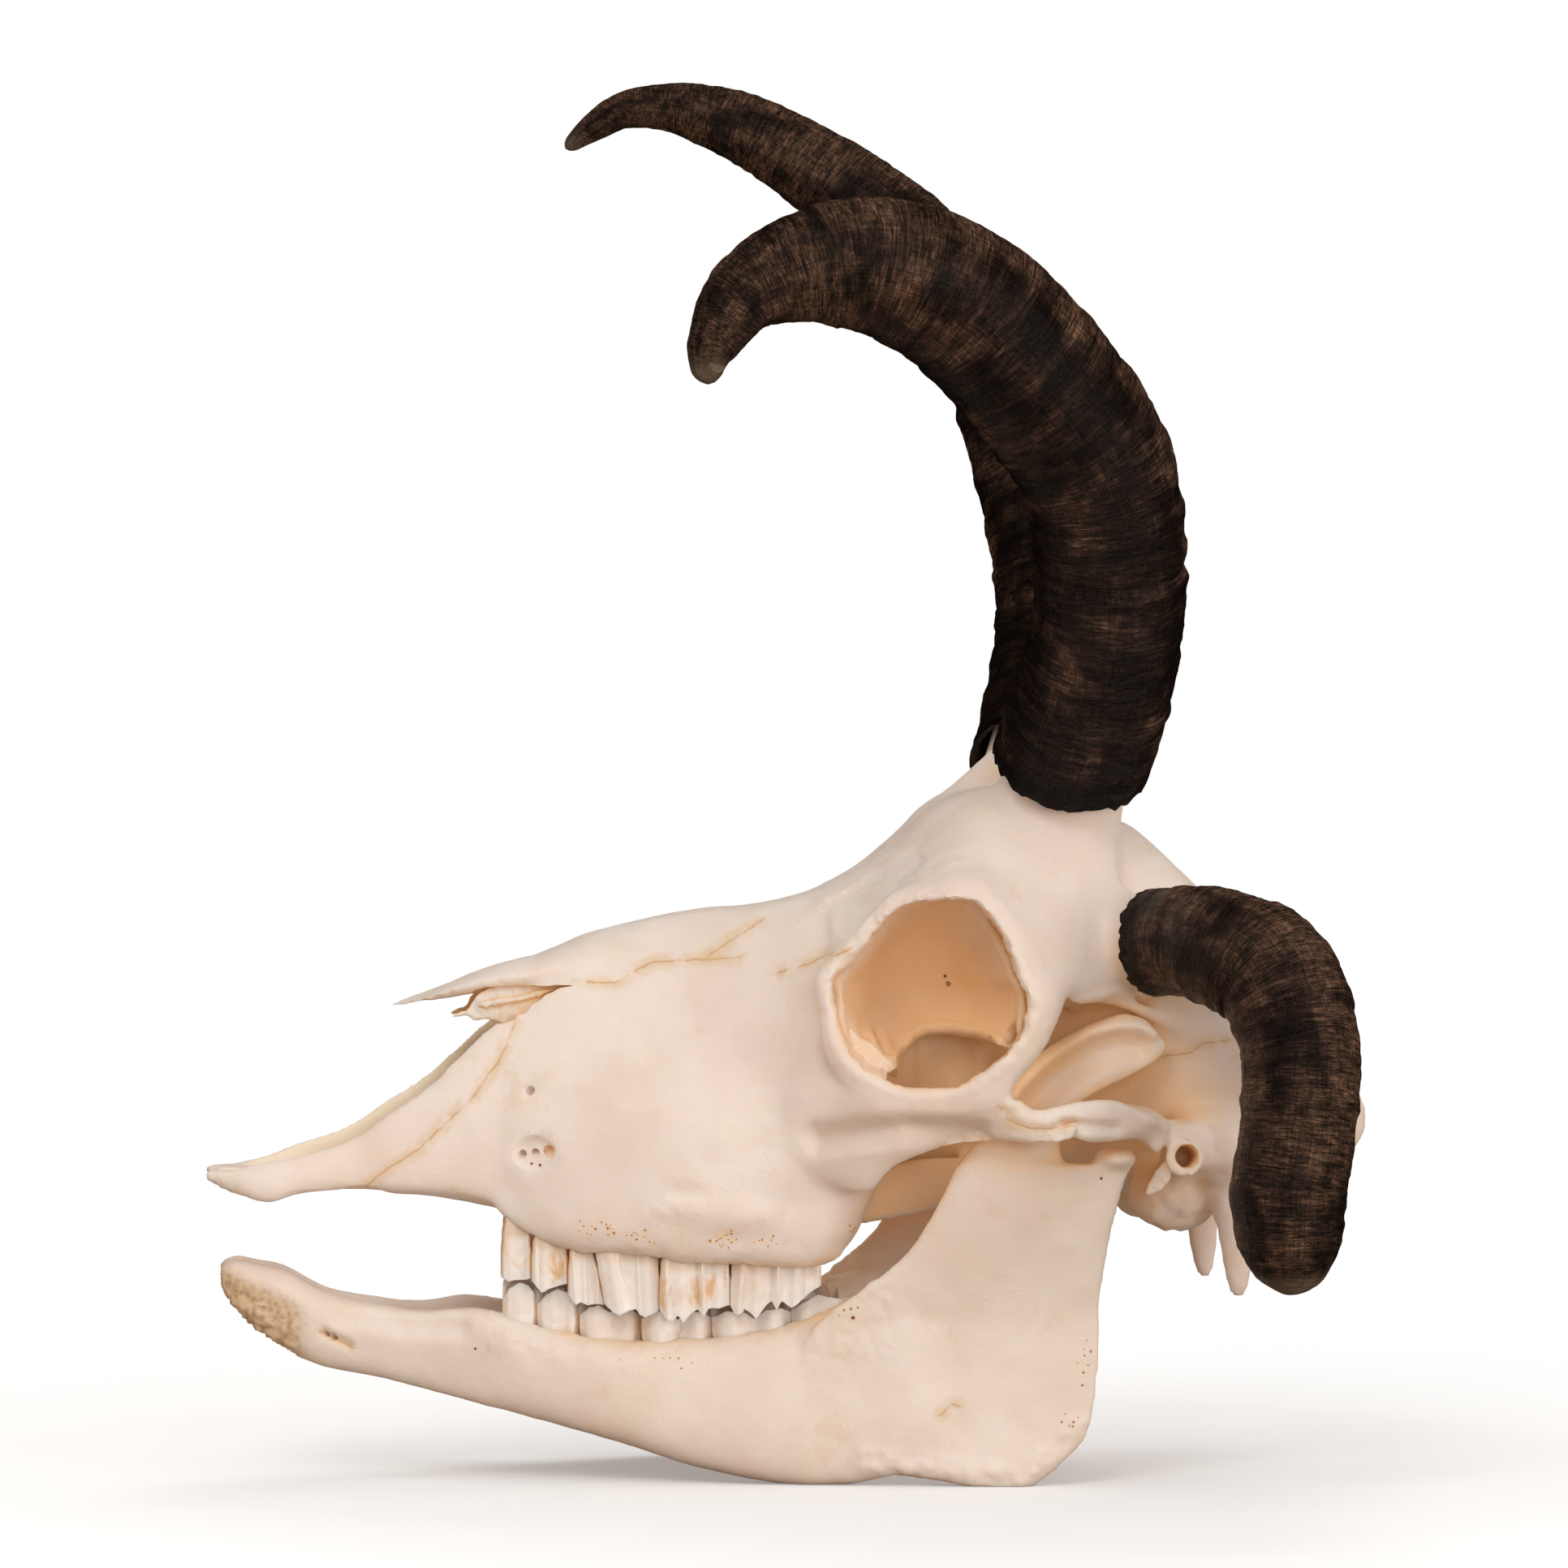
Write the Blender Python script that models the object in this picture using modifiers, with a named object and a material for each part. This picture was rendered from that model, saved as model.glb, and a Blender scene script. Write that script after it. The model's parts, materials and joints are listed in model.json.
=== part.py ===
"""A four-horned sheep's skull: cranium with its bony horn cores, two jaw halves, cheek teeth and four horn sheaths.

The nose points along -X, the animal's left side lies at -Y, +Z is up. The skull stands on its lower jaw.
Lengths below are millimetres and are turned into metres as the meshes are made.
"""

import math

import bmesh
import bpy
from mathutils import Matrix, Vector

MM = 0.001
LEFT = -1
RIGHT = 1
BOTH_SIDES = (LEFT, RIGHT)

# Clear gap between pieces that touch on the real skull.
GAP = 0.35

# Fineness of the fused bone and how many triangles each piece keeps.
BONE_VOXEL = 1.7
JAW_VOXEL = 1.5
CRANIUM_TRIANGLES = 3500
JAW_TRIANGLES = 560

# Orbit: centre of its opening and radius, seen from the side.
ORBIT_X = 27.0
ORBIT_Z = 106.5
ORBIT_RADIUS = 20.0
ORBIT_RIM = 2.6
ORBIT_MIDDLE_Y = 53.0
ORBIT_REAR_FLARE = 6.5

# Half the distance between the two jaw halves at the chin.
CHIN_GAP = 0.3

# Horn sheaths: thickness of the horn wall and the play between wall and bone core.
RIM_WALL = 1.4
HORN_WALL = 3.0
CORE_PLAY = 1.8
CORE_SHARE = 0.42
HORN_RIDGES = 0.022

# Centre lines of the four sheaths as x, y, z and outer radius, from the mouth to the tip.
UPPER_LEFT_HORN = (
    (60.0, -25, 153.5, 17.0),
    (66.5, -30, 175.5, 16.7),
    (68.5, -38, 196.0, 16.6),
    (64.5, -47, 219.0, 17.0),
    (51.5, -56, 237.5, 17.0),
    (34.5, -63, 253.5, 16.5),
    (19.0, -68, 260.5, 15.0),
    (3.5, -72, 261.5, 12.8),
    (-12.5, -75, 255.5, 8.6),
    (-20.5, -77, 243.5, 5.2),
    (-21.5, -77, 235.5, 2.2),
)
UPPER_RIGHT_HORN = (
    (60.0, 25, 153.0, 16.6),
    (64.5, 31, 174.0, 16.2),
    (67.0, 38, 194.5, 16.0),
    (62.5, 49, 224.5, 15.2),
    (51.5, 58, 255.0, 13.6),
    (34.0, 64, 276.5, 11.8),
    (15.0, 68, 292.0, 10.2),
    (-1.5, 72, 302.5, 8.9),
    (-13.0, 74, 307.0, 7.4),
    (-22.0, 76, 309.0, 5.6),
    (-31.5, 78, 308.5, 4.4),
    (-38.5, 79, 304.8, 3.4),
    (-45.5, 80, 299.6, 1.5),
)
LATERAL_HORN = (
    (77.3, 44, 117.2, 11.4),
    (83.8, 52, 117.7, 11.9),
    (89.5, 60, 116.5, 12.7),
    (99.5, 70, 110.8, 13.2),
    (104.0, 77, 96.0, 12.6),
    (102.8, 81, 77.5, 12.3),
    (100.9, 82, 65.5, 12.2),
    (100.9, 82, 55.5, 11.2),
    (101.1, 81, 48.0, 7.6),
    (100.8, 80, 43.8, 3.4),
)

# Half sections of the face from the front of the cheek teeth to the orbits.
# Each row is x and then y, z pairs from the top middle, over the cheek, round the tooth ridge to the palate.
FACE = (
    (-62, 0, 100, 10, 100, 16.5, 99.5, 20, 90, 23.5, 76, 24.5, 66, 23.5, 58, 14, 58.5, 12, 60, 0, 61),
    (-50, 0, 116, 11, 114.6, 17.5, 109, 22.5, 96, 27.5, 80, 29.8, 66, 29.6, 51.5, 16, 52.5, 13, 57.5, 0, 59),
    (-35, 0, 120.7, 12, 119.2, 19, 113, 26, 98, 32.5, 80, 34.3, 66, 33.4, 50.2, 17.5, 51, 15, 56.5, 0, 58),
    (-20, 0, 123.7, 13, 122.4, 21, 116, 29, 99, 36.5, 80, 38.2, 66, 36.8, 47.6, 19.5, 48.6, 17, 56, 0, 57.5),
    (-5, 0, 125.1, 14, 124.3, 23, 118.5, 32, 101, 38.5, 83, 39.3, 68, 37.2, 46.8, 20, 48.6, 18, 56, 0, 57.5),
    (5, 0, 127.2, 15, 126.4, 26, 121, 38, 106, 43, 88, 40.5, 70, 36.4, 47.2, 20.5, 49, 18, 57, 0, 59),
    (13, 0, 131, 16, 130.2, 29, 126, 44, 109, 48, 88, 42, 72, 32, 53, 22, 54, 17, 60, 0, 63),
    (19, 0, 135, 18, 134, 32, 130, 48, 112, 51, 90, 45, 76, 28, 66, 22, 66, 16, 67, 0, 69),
)

# Roof of the skull over the orbits: x, then upper and lower edge of the half section as y, z pairs.
ROOF = (
    (6, 0, 127.6, 20, 126.2, 35, 120, 45, 112, 43, 108, 32, 110, 14, 112, 0, 112),
    (15, 0, 132.2, 20, 131, 38, 127, 51, 122, 49, 118, 36, 119, 15, 117, 0, 117),
    (24, 0, 139, 20, 137.8, 40, 132.5, 55, 127, 54, 123, 38, 124.5, 16, 122, 0, 122),
    (33, 0, 147.5, 20, 146.4, 40, 138.5, 58, 127.5, 56, 123, 38, 127, 18, 126, 0, 126),
    (42, 0, 150.5, 22, 150.5, 38, 142, 59.5, 122.5, 56.5, 118, 38, 127, 20, 127, 0, 127),
    (52, 0, 150.5, 24, 150, 38, 140.5, 58, 113, 53, 109, 37, 122, 22, 124, 0, 124),
    (62, 0, 149, 24, 149.5, 38, 137, 50, 108, 43, 104, 33, 112, 22, 118, 0, 118),
    (71, 0, 145, 22, 144, 34, 131, 41, 112, 36, 104, 28, 106, 20, 110, 0, 112),
)

# Braincase as x, half width, bottom and top.
BRAINCASE = (
    (20, 15, 64, 128),
    (34, 15.5, 64, 132),
    (46, 18, 63, 136),
    (60, 25.5, 62, 142),
    (74, 32, 61, 143.5),
    (82, 34.5, 60, 138),
    (91, 35.5, 59, 129.5),
    (103, 34.5, 59, 119),
    (112, 31, 61, 109.5),
    (119, 24, 66, 100),
    (122.5, 14, 74, 92),
)

# The nasal bones reach forward over the nose opening: x, top, free lower edge, half width.
NASAL = (
    (-87.5, 102.3, 101.6, 3.0),
    (-78, 106.0, 103.6, 9.5),
    (-67, 110.0, 106.0, 14.0),
    (-56, 114.0, 107.5, 16.5),
    (-42, 118.8, 108.0, 18.0),
)

# Flattened bars are rows of two edge points and half the thickness: x, y, z, x, y, z, t.
PREMAXILLA = (
    (-129.4, 8, 64.6, -129.4, 7, 66.6, 2.8),
    (-122, 12.5, 62.0, -122, 10.5, 67.4, 2.6),
    (-114, 15.5, 60.0, -114, 12.5, 69.7, 2.4),
    (-106, 16.5, 62.0, -106, 13.5, 72.6, 2.1),
    (-96, 17, 62.6, -96, 14, 77.8, 2.0),
    (-88, 18, 62.8, -88, 14.5, 83.2, 1.9),
    (-79, 19.5, 62.6, -79, 15, 89.0, 1.9),
    (-73, 21, 62.0, -73, 15.5, 92.8, 1.9),
    (-66, 22.5, 60.0, -66, 16, 99.0, 2.0),
    (-59, 24, 56.0, -59, 16.5, 102.5, 2.2),
)
PALATINE_PROCESS = (
    (-114, 2.2, 62.6, -114, 2.2, 66.2, 2.2),
    (-95, 2.2, 61.8, -95, 2.2, 66.2, 2.2),
    (-75, 2.6, 60.6, -75, 2.6, 65.0, 2.4),
    (-58, 3.4, 59.6, -58, 3.4, 64.0, 2.6),
)
NOSE_FLOOR = (
    (-90, 11.5, 64.6, -90, 17.5, 64.4, 2.2),
    (-80, 6, 63.6, -80, 19, 64.0, 2.4),
    (-70, -1, 62.6, -70, 21, 62.6, 2.6),
    (-56, -1, 61.6, -56, 23, 60.4, 3.0),
)
INCISOR_BODY = (
    (-126, 2.6, 65.8, -126, 9.5, 65.0, 1.9),
    (-120, 1.8, 65.2, -120, 13.0, 63.4, 2.4),
    (-112, 1.6, 64.6, -112, 15.0, 62.8, 2.4),
    (-105, 6.5, 64.8, -105, 16.0, 64.0, 2.2),
    (-98, 11.5, 65.6, -98, 16.2, 65.4, 2.0),
)
CHEEK_ARCH = (
    (0, 40, 88, -2, 37, 70, 3.0),
    (11, 47, 88, 14, 42, 63, 3.4),
    (20, 52.5, 86.5, 20.4, 46, 69, 3.1),
    (30, 55.5, 85.8, 30, 50, 72.8, 2.8),
    (41, 57, 86.5, 41, 53, 74.4, 2.5),
    (50, 57, 81.5, 50, 54, 74.3, 2.2),
    (57.5, 56.5, 79.2, 57.5, 55, 76.4, 1.6),
)
TEMPLE_ARCH = (
    (43, 56, 82.6, 44, 55.5, 80.0, 1.6),
    (52.5, 56.5, 82.7, 53, 56, 78.8, 1.9),
    (61, 56, 83.2, 60.5, 55, 74.6, 2.3),
    (67.5, 54, 83.2, 67, 52, 74.6, 2.7),
    (74, 50, 81.0, 74, 47, 75.2, 3.0),
    (80, 43, 79.0, 80, 41, 73.0, 3.6),
    (88, 33, 79.0, 88, 31, 68.0, 5.0),
)
ORBIT_BAR = (
    (40, 58, 123, 58, 46, 117, 3.0),
    (45, 59.5, 112.5, 58, 51, 108, 2.8),
    (47.3, 59.5, 104, 56.8, 53, 103.5, 2.6),
    (46.3, 58.5, 97.5, 52.3, 55, 97.5, 2.6),
    (42.5, 58, 92, 49, 55.5, 91.8, 2.6),
    (37.5, 57.5, 87.5, 45.2, 56, 87.5, 2.6),
    (31, 56.5, 83, 42, 55, 82.5, 2.6),
)
PTERYGOID = (
    (10, 15, 66, 10, 16.5, 54, 2.4),
    (20, 14, 68, 20, 15, 55, 2.1),
    (30, 12.5, 70, 30, 13, 56.5, 2.0),
    (40, 12, 70, 41, 12, 59.5, 1.9),
    (50, 11, 70, 50, 11, 65, 2.2),
)
SKULL_BASE = (
    (26, 8, 70, 26, -8, 70, 6.0),
    (50, 9, 69.5, 50, -9, 69.5, 5.5),
    (75, 11, 68, 75, -11, 68, 5.0),
    (98, 14, 67.5, 98, -14, 67.5, 5.0),
    (118, 15, 71, 118, -15, 71, 5.0),
)
PAROCCIPITAL = (
    (88, 27, 73, 106, 27, 73, 4.0),
    (91, 28, 62, 104, 28, 62, 3.2),
    (92.8, 28.5, 54, 101.6, 28.5, 54, 2.3),
    (94, 28.5, 46, 100.8, 28.5, 46, 1.9),
    (95.4, 28, 40.6, 99.8, 28, 40.6, 1.6),
    (97, 28, 39.0, 98.8, 28, 39.0, 1.2),
)
NUCHAL_CREST = (
    (106, 34, 80, 3.0),
    (113, 32, 90, 3.0),
    (119, 21, 97, 2.8),
    (122, 8, 98.5, 2.6),
    (122, -8, 98.5, 2.6),
)
TEMPORAL_LINE = (
    (57, 50, 105, 2.6),
    (66, 42.5, 106, 2.4),
    (76, 37, 102, 2.2),
    (92, 35, 95, 2.2),
    (108, 33, 84, 2.4),
)

# Rounded swellings of each side as centre and radii: the ear capsule, the bone behind the ear,
# the joint that met the spine, the seat of the jaw joint and the jaw's own joint head.
EAR_CAPSULE = ((84, 22, 62), (10, 8, 8.8))
MASTOID = ((92, 31, 74), (9, 7, 9))
NECK_JOINT = ((121.2, 14, 78), (7.2, 8.5, 9))
JAW_SEAT = ((71, 45, 79), (8, 9, 3.6))
JAW_JOINT_HEAD = ((69, 46.5, 70.6), (5.2, 9.5, 2.8))

# Round bars as x, y, z and radius: the ear tube and the roots of the bony horn cores.
EAR_TUBE = ((84, 28, 69, 4.6), (84.2, 36, 70.2, 4.4), (84.2, 43, 70.7, 4.2))
LATERAL_CORE_ROOT = ((62, 25, 116, 15.0), (69, 34, 117, 12.5), (74, 40, 117.2, 9.0))
UPPER_LEFT_CORE_ROOT = ((54, -18, 128, 20.0), (56.5, -20.5, 138.5, 17.4), (58.2, -22.8, 146, 14.4))
UPPER_RIGHT_CORE_ROOT = ((54, 18, 128, 20.0), (56.5, 20.5, 138.5, 17.0), (58.2, 22.8, 146, 13.8))

# Hollows as x, y, z and radius: the eye sockets, the braincase behind the spine's hole and the ears.
ORBIT_HOLLOW = (
    (26.5, 76, 107.0, 19.6),
    (27.0, 58, 106.6, 19.6),
    (28.5, 46, 106.0, 19.8),
    (32.0, 34, 105.0, 18.0),
    (37.0, 24, 103.0, 13.0),
    (40.0, 18, 102.0, 6.0),
)
BRAIN_HOLLOW = ((134, 0, 85, 9.0), (122, 0, 84, 9.0), (112, 0, 86, 11.0), (98, 0, 90, 14.0), (84, 0, 92, 9.0))
EAR_HOLLOW = ((84.3, 47, 70.8, 2.7), (84.2, 34, 70.2, 2.7))

# Hollows as half sections like those of the face: the air space of the nose, open in front,
# and its rear opening above the palate, between the pterygoid plates.
NOSE_HOLLOW = (
    (-135, 0, 125, 13, 120, 13, 90, 10, 69.5, 0, 69.5),
    (-118, 0, 125, 12, 120, 11, 90, 9.5, 69, 0, 69),
    (-100, 0, 100, 13.0, 99, 12.5, 85, 11.5, 68.2, 0, 68.2),
    (-84, 0, 99.5, 13.2, 99, 13.0, 84, 14.5, 67, 0, 67),
    (-66, 0, 104.5, 12, 101, 14.8, 86, 17.5, 66.5, 0, 66.5),
    (-52, 0, 110, 12, 106, 17.5, 90, 22, 66, 0, 65.5),
    (-36, 0, 114.5, 13, 110, 21, 92, 26, 66, 0, 64.5),
    (-18, 0, 117.5, 14, 112, 23, 94, 28, 68, 0, 64.5),
    (-4, 0, 115, 13, 109, 19, 94, 22, 72, 0, 66),
    (4, 0, 106, 9, 102, 12, 92, 14, 78, 0, 74),
)
THROAT_HOLLOW = (
    (-2, 0, 74, 8, 73, 9, 66, 8, 62, 0, 61.5),
    (16, 0, 68, 9, 67, 10.5, 61, 10, 50, 0, 50),
    (34, 0, 64.5, 8.5, 64, 9.5, 58, 9, 48, 0, 48),
    (56, 0, 62, 8, 61, 8, 56, 8, 48, 0, 48),
)

JAW_BODY = (
    (-124.5, 4.5, 41.5, -124.5, 4.5, 45.6, 4.0),
    (-121, 5, 35.2, -121, 5, 47.0, 6.2),
    (-116, 5.6, 31.0, -116, 5.6, 46.0, 7.0),
    (-110, 6.2, 27.0, -110, 6.6, 44.6, 7.0),
    (-101, 7.5, 23.6, -101, 8, 40.0, 6.8),
    (-90, 10.5, 21.8, -90, 11.5, 37.6, 5.6),
    (-80, 14, 19.4, -80, 15, 36.4, 4.8),
    (-70, 18, 16.8, -70, 18, 37.2, 5.0),
    (-62, 20, 14.8, -62, 21, 36.0, 5.6),
    (-50, 23, 11.6, -50, 22.5, 32.4, 6.6),
    (-35, 27, 7.4, -35, 24.5, 30.2, 7.4),
    (-20, 30.5, 3.0, -20, 26, 31.0, 7.6),
    (-8, 33, 0.4, -8, 26.5, 32.4, 7.4),
    (3, 35.5, -0.6, 3, 27.5, 35.0, 6.8),
    (14, 38, 0.4, 14, 32, 40.0, 5.2),
    (24, 40, 3.0, 24, 37, 42.0, 3.6),
)
RAMUS = (
    (40, 41.0, -0.7, 51, 41.5, -0.7, 2.2),
    (26, 40.0, 1.8, 54, 42.0, 1.8, 3.2),
    (8, 37.0, 5.0, 57.5, 42.5, 5.0, 3.4),
    (2, 36.0, 9.0, 61.5, 42.5, 9.0, 3.3),
    (-2, 35.0, 14.0, 63.8, 42.5, 14.0, 3.1),
    (0, 35.0, 25.0, 65.2, 42.8, 25.0, 2.9),
    (4, 35.0, 34.0, 65.7, 43.0, 34.0, 2.8),
    (11, 37.0, 40.0, 65.6, 43.5, 40.0, 2.7),
    (22.6, 40.5, 49.0, 66.6, 44.5, 49.0, 2.6),
    (28.9, 42.5, 58.6, 68.6, 45.5, 58.6, 2.5),
    (32.8, 43.0, 66.0, 70.8, 46.0, 66.0, 2.5),
    (34.8, 43.2, 69.6, 72.2, 46.3, 69.6, 2.4),
)
CORONOID = (
    (33.5, 43.2, 68.0, 58, 44.5, 68.5, 2.5),
    (38.4, 43.2, 74.5, 56.8, 44.0, 74.5, 2.3),
    (44.6, 42.4, 82.2, 60.5, 42.6, 81.6, 2.1),
    (50.0, 41.4, 89.6, 65.5, 41.4, 85.6, 2.0),
    (59.5, 40.4, 96.2, 71.5, 40.4, 88.8, 1.9),
    (69.5, 39.8, 100.4, 77.0, 39.8, 92.2, 1.8),
    (74.6, 39.6, 99.2, 79.4, 39.6, 95.0, 1.3),
)

# Cheek teeth: name, first x, last x, gum height, biting edge outside and inside, outer and inner y.
UPPER_TEETH = (
    ("premolar_1", -63.0, -56.9, 54.5, 43.8, 45.5, 25.2, 16.6),
    ("premolar_2", -56.5, -49.0, 51.6, 41.8, 44.0, 27.0, 17.4),
    ("premolar_3", -48.6, -42.0, 50.8, 39.6, 42.6, 28.9, 18.2),
    ("molar_1", -41.6, -29.3, 50.4, 36.6, 41.2, 31.2, 19.6),
    ("molar_2", -28.9, -14.1, 48.2, 35.5, 41.0, 33.8, 21.4),
    ("molar_3", -13.7, 5.7, 47.4, 36.6, 42.0, 34.3, 22.2),
)
LOWER_TEETH = (
    ("premolar_1", -62.6, -55.6, 33.0, 42.4, 43.4, 23.8, 18.0),
    ("premolar_2", -55.2, -46.4, 32.4, 40.2, 42.4, 24.8, 18.4),
    ("premolar_3", -46.0, -33.0, 30.6, 38.0, 40.8, 26.2, 18.8),
    ("molar_1", -32.6, -17.8, 30.0, 36.0, 39.6, 28.8, 20.4),
    ("molar_2", -17.4, -0.6, 31.6, 36.0, 39.6, 30.0, 21.6),
    ("molar_3", -0.2, 15.0, 35.0, 37.6, 40.6, 30.0, 22.0),
)
ROOT_LENGTH = 5.0


def eased(rows, steps):
    """Rows of numbers with a smooth curve laid through them."""
    result = []
    last = len(rows) - 1
    for i in range(last):
        before, first, second, after = (rows[max(i - 1, 0)], rows[i], rows[i + 1], rows[min(i + 2, last)])
        for step in range(steps):
            t = step / steps
            result.append(
                tuple(
                    0.5 * (2 * b + (c - a) * t + (2 * a - 5 * b + 4 * c - d) * t * t + (3 * b - a - 3 * c + d) * t**3)
                    for a, b, c, d in zip(before, first, second, after)
                )
            )
    result.append(tuple(rows[-1]))
    return result


def loft(bm, rings):
    """One closed body through rings of equal length, given in millimetres."""
    loops = [[bm.verts.new(Vector(point) * MM) for point in ring] for ring in rings]
    faces = [bm.faces.new(loops[0]), bm.faces.new(loops[-1])]
    count = len(rings[0])
    for lower, upper in zip(loops, loops[1:]):
        for i in range(count):
            j = (i + 1) % count
            faces.append(bm.faces.new((lower[i], lower[j], upper[j], upper[i])))
    bmesh.ops.recalc_face_normals(bm, faces=faces)


def rounded(turn, squareness):
    """Sine and cosine of a turn, pushed out towards a square."""
    c, s = math.cos(turn), math.sin(turn)
    return math.copysign(abs(c) ** squareness, c), math.copysign(abs(s) ** squareness, s)


def blade(bm, rows, side, steps=3, sides=12, squareness=0.8):
    """A flattened bar between two edge lines."""
    stations = []
    for x1, y1, z1, x2, y2, z2, half in eased(rows, steps):
        stations.append((Vector((x1, y1 * side, z1)), Vector((x2, y2 * side, z2)), half))
    middles = [(first + second) / 2 for first, second, _ in stations]
    rings = []
    for i, (first, second, half) in enumerate(stations):
        along = middles[min(i + 1, len(middles) - 1)] - middles[max(i - 1, 0)]
        reach = (second - first) / 2
        thick = along.cross(reach).normalized() * half
        ring = []
        for k in range(sides):
            c, s = rounded(2 * math.pi * k / sides, squareness)
            ring.append(middles[i] + reach * c + thick * s)
        rings.append(ring)
    loft(bm, rings)


def frames(points):
    """A pair of cross directions at every point of a path, carried along it without twist."""
    count = len(points)
    tangents = []
    for i in range(count):
        tangents.append((points[min(i + 1, count - 1)] - points[max(i - 1, 0)]).normalized())
    across = tangents[0].orthogonal().normalized()
    result = []
    for tangent in tangents:
        across = (across - tangent * across.dot(tangent)).normalized()
        result.append((tangent, across, tangent.cross(across)))
    return result


def tube(bm, rows, side=1, steps=4, sides=12):
    """A round bar along a path of x, y, z and radius."""
    rows = eased(rows, steps)
    points = [Vector((row[0], row[1] * side, row[2])) for row in rows]
    rings = []
    for point, row, (_, across, up) in zip(points, rows, frames(points)):
        ring = []
        for k in range(sides):
            turn = 2 * math.pi * k / sides
            ring.append(point + (across * math.cos(turn) + up * math.sin(turn)) * row[3])
        rings.append(ring)
    loft(bm, rings)


def ball(bm, swelling, side):
    """An ellipsoid from its centre and radii."""
    (x, y, z), radii = swelling
    place = Matrix.Translation(Vector((x, y * side, z)) * MM)
    stretch = Matrix.Diagonal((*(r * MM for r in radii), 1.0))
    bmesh.ops.create_uvsphere(bm, u_segments=20, v_segments=12, radius=1.0, matrix=place @ stretch)


def symmetric_loft(bm, rows, steps=3):
    """A body through half sections of x and y, z pairs that start and end on the middle plane."""
    rings = []
    for row in eased(rows, steps):
        half = list(zip(row[1::2], row[2::2]))
        ring = [(row[0], -y, z) for y, z in half]
        ring += [(row[0], y, z) for y, z in reversed(half[1:-1])]
        rings.append(ring)
    loft(bm, rings)


def oval_loft(bm, rows, steps=3, sides=20):
    """A body through upright ovals of x, half width, bottom and top."""
    rings = []
    for x, half, bottom, top in eased(rows, steps):
        ring = []
        for k in range(sides):
            c, s = rounded(2 * math.pi * k / sides, 0.95)
            ring.append((x, half * c, (bottom + top) / 2 + (top - bottom) / 2 * s))
        rings.append(ring)
    loft(bm, rings)


def make_object(name, bm, collection):
    """An object from a finished bmesh."""
    mesh = bpy.data.meshes.new(name)
    bm.to_mesh(mesh)
    bm.free()
    obj = bpy.data.objects.new(name, mesh)
    collection.objects.link(obj)
    return obj


def settle(obj):
    """Replaces the mesh by what the modifiers make of it."""
    depsgraph = bpy.context.evaluated_depsgraph_get()
    mesh = bpy.data.meshes.new_from_object(obj.evaluated_get(depsgraph))
    obj.modifiers.clear()
    old = obj.data
    obj.data = mesh
    bpy.data.meshes.remove(old)


def keep_outer_skin(obj):
    """Leaves only the largest closed skin, so no sealed void or crumb stays behind."""
    bm = bmesh.new()
    bm.from_mesh(obj.data)
    waiting = set(bm.verts)
    islands = []
    while waiting:
        seed = waiting.pop()
        island = {seed}
        edge_of = [seed]
        while edge_of:
            vert = edge_of.pop()
            for edge in vert.link_edges:
                other = edge.other_vert(vert)
                if other in waiting:
                    waiting.remove(other)
                    island.add(other)
                    edge_of.append(other)
        islands.append(island)
    islands.sort(key=len)
    for island in islands[:-1]:
        bmesh.ops.delete(bm, geom=list(island), context="VERTS")
    bm.to_mesh(obj.data)
    bm.free()


def fuse(obj, voxel, smoothing):
    """Melts overlapping blocks into one skin and softens it."""
    remesh = obj.modifiers.new("fuse", "REMESH")
    remesh.mode = "VOXEL"
    remesh.voxel_size = voxel * MM
    soften = obj.modifiers.new("soften", "SMOOTH")
    soften.factor = 0.5
    soften.iterations = smoothing
    settle(obj)
    keep_outer_skin(obj)


def thin_out(obj, triangles):
    """Fewer triangles, spent where the shape bends."""
    obj.data.calc_loop_triangles()
    decimate = obj.modifiers.new("thin_out", "DECIMATE")
    decimate.ratio = triangles / len(obj.data.loop_triangles)
    settle(obj)
    keep_outer_skin(obj)


def carve(obj, cutter):
    """Takes the cutter's shape out of an object."""
    cutter.hide_render = True
    cutter.display_type = "WIRE"
    cut = obj.modifiers.new("carve", "BOOLEAN")
    cut.operation = "DIFFERENCE"
    cut.solver = "EXACT"
    cut.use_self = True
    cut.object = cutter
    settle(obj)


def cranium_blocks(bm):
    """The upper skull as overlapping blocks, horn cores included."""
    symmetric_loft(bm, FACE)
    symmetric_loft(bm, ROOF)
    oval_loft(bm, BRAINCASE)
    symmetric_loft(bm, nasal_sections())
    blade(bm, SKULL_BASE, 1)
    for side in BOTH_SIDES:
        for rows in (PREMAXILLA, PALATINE_PROCESS, INCISOR_BODY, CHEEK_ARCH):
            blade(bm, rows, side)
        for rows in (TEMPLE_ARCH, ORBIT_BAR, PTERYGOID, PAROCCIPITAL, NOSE_FLOOR):
            blade(bm, rows, side)
        tube(bm, NUCHAL_CREST, side)
        tube(bm, TEMPORAL_LINE, side)
        orbit_ring(bm, side)
        for swelling in (EAR_CAPSULE, MASTOID, NECK_JOINT, JAW_SEAT):
            ball(bm, swelling, side)
        tube(bm, EAR_TUBE, side)
        horn_core(bm, LATERAL_HORN, side, LATERAL_CORE_ROOT)
    horn_core(bm, UPPER_LEFT_HORN, 1, UPPER_LEFT_CORE_ROOT)
    horn_core(bm, UPPER_RIGHT_HORN, 1, UPPER_RIGHT_CORE_ROOT)


def nasal_sections():
    """Half sections of the nasal roof from its tip to the forehead."""
    rows = []
    for x, top, edge, half in NASAL:
        rows.append((x, 0, top, half * 0.6, top - 0.8, half, (top + edge) / 2, half * 0.8, edge, 0, edge + 0.4))
    return rows


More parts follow.
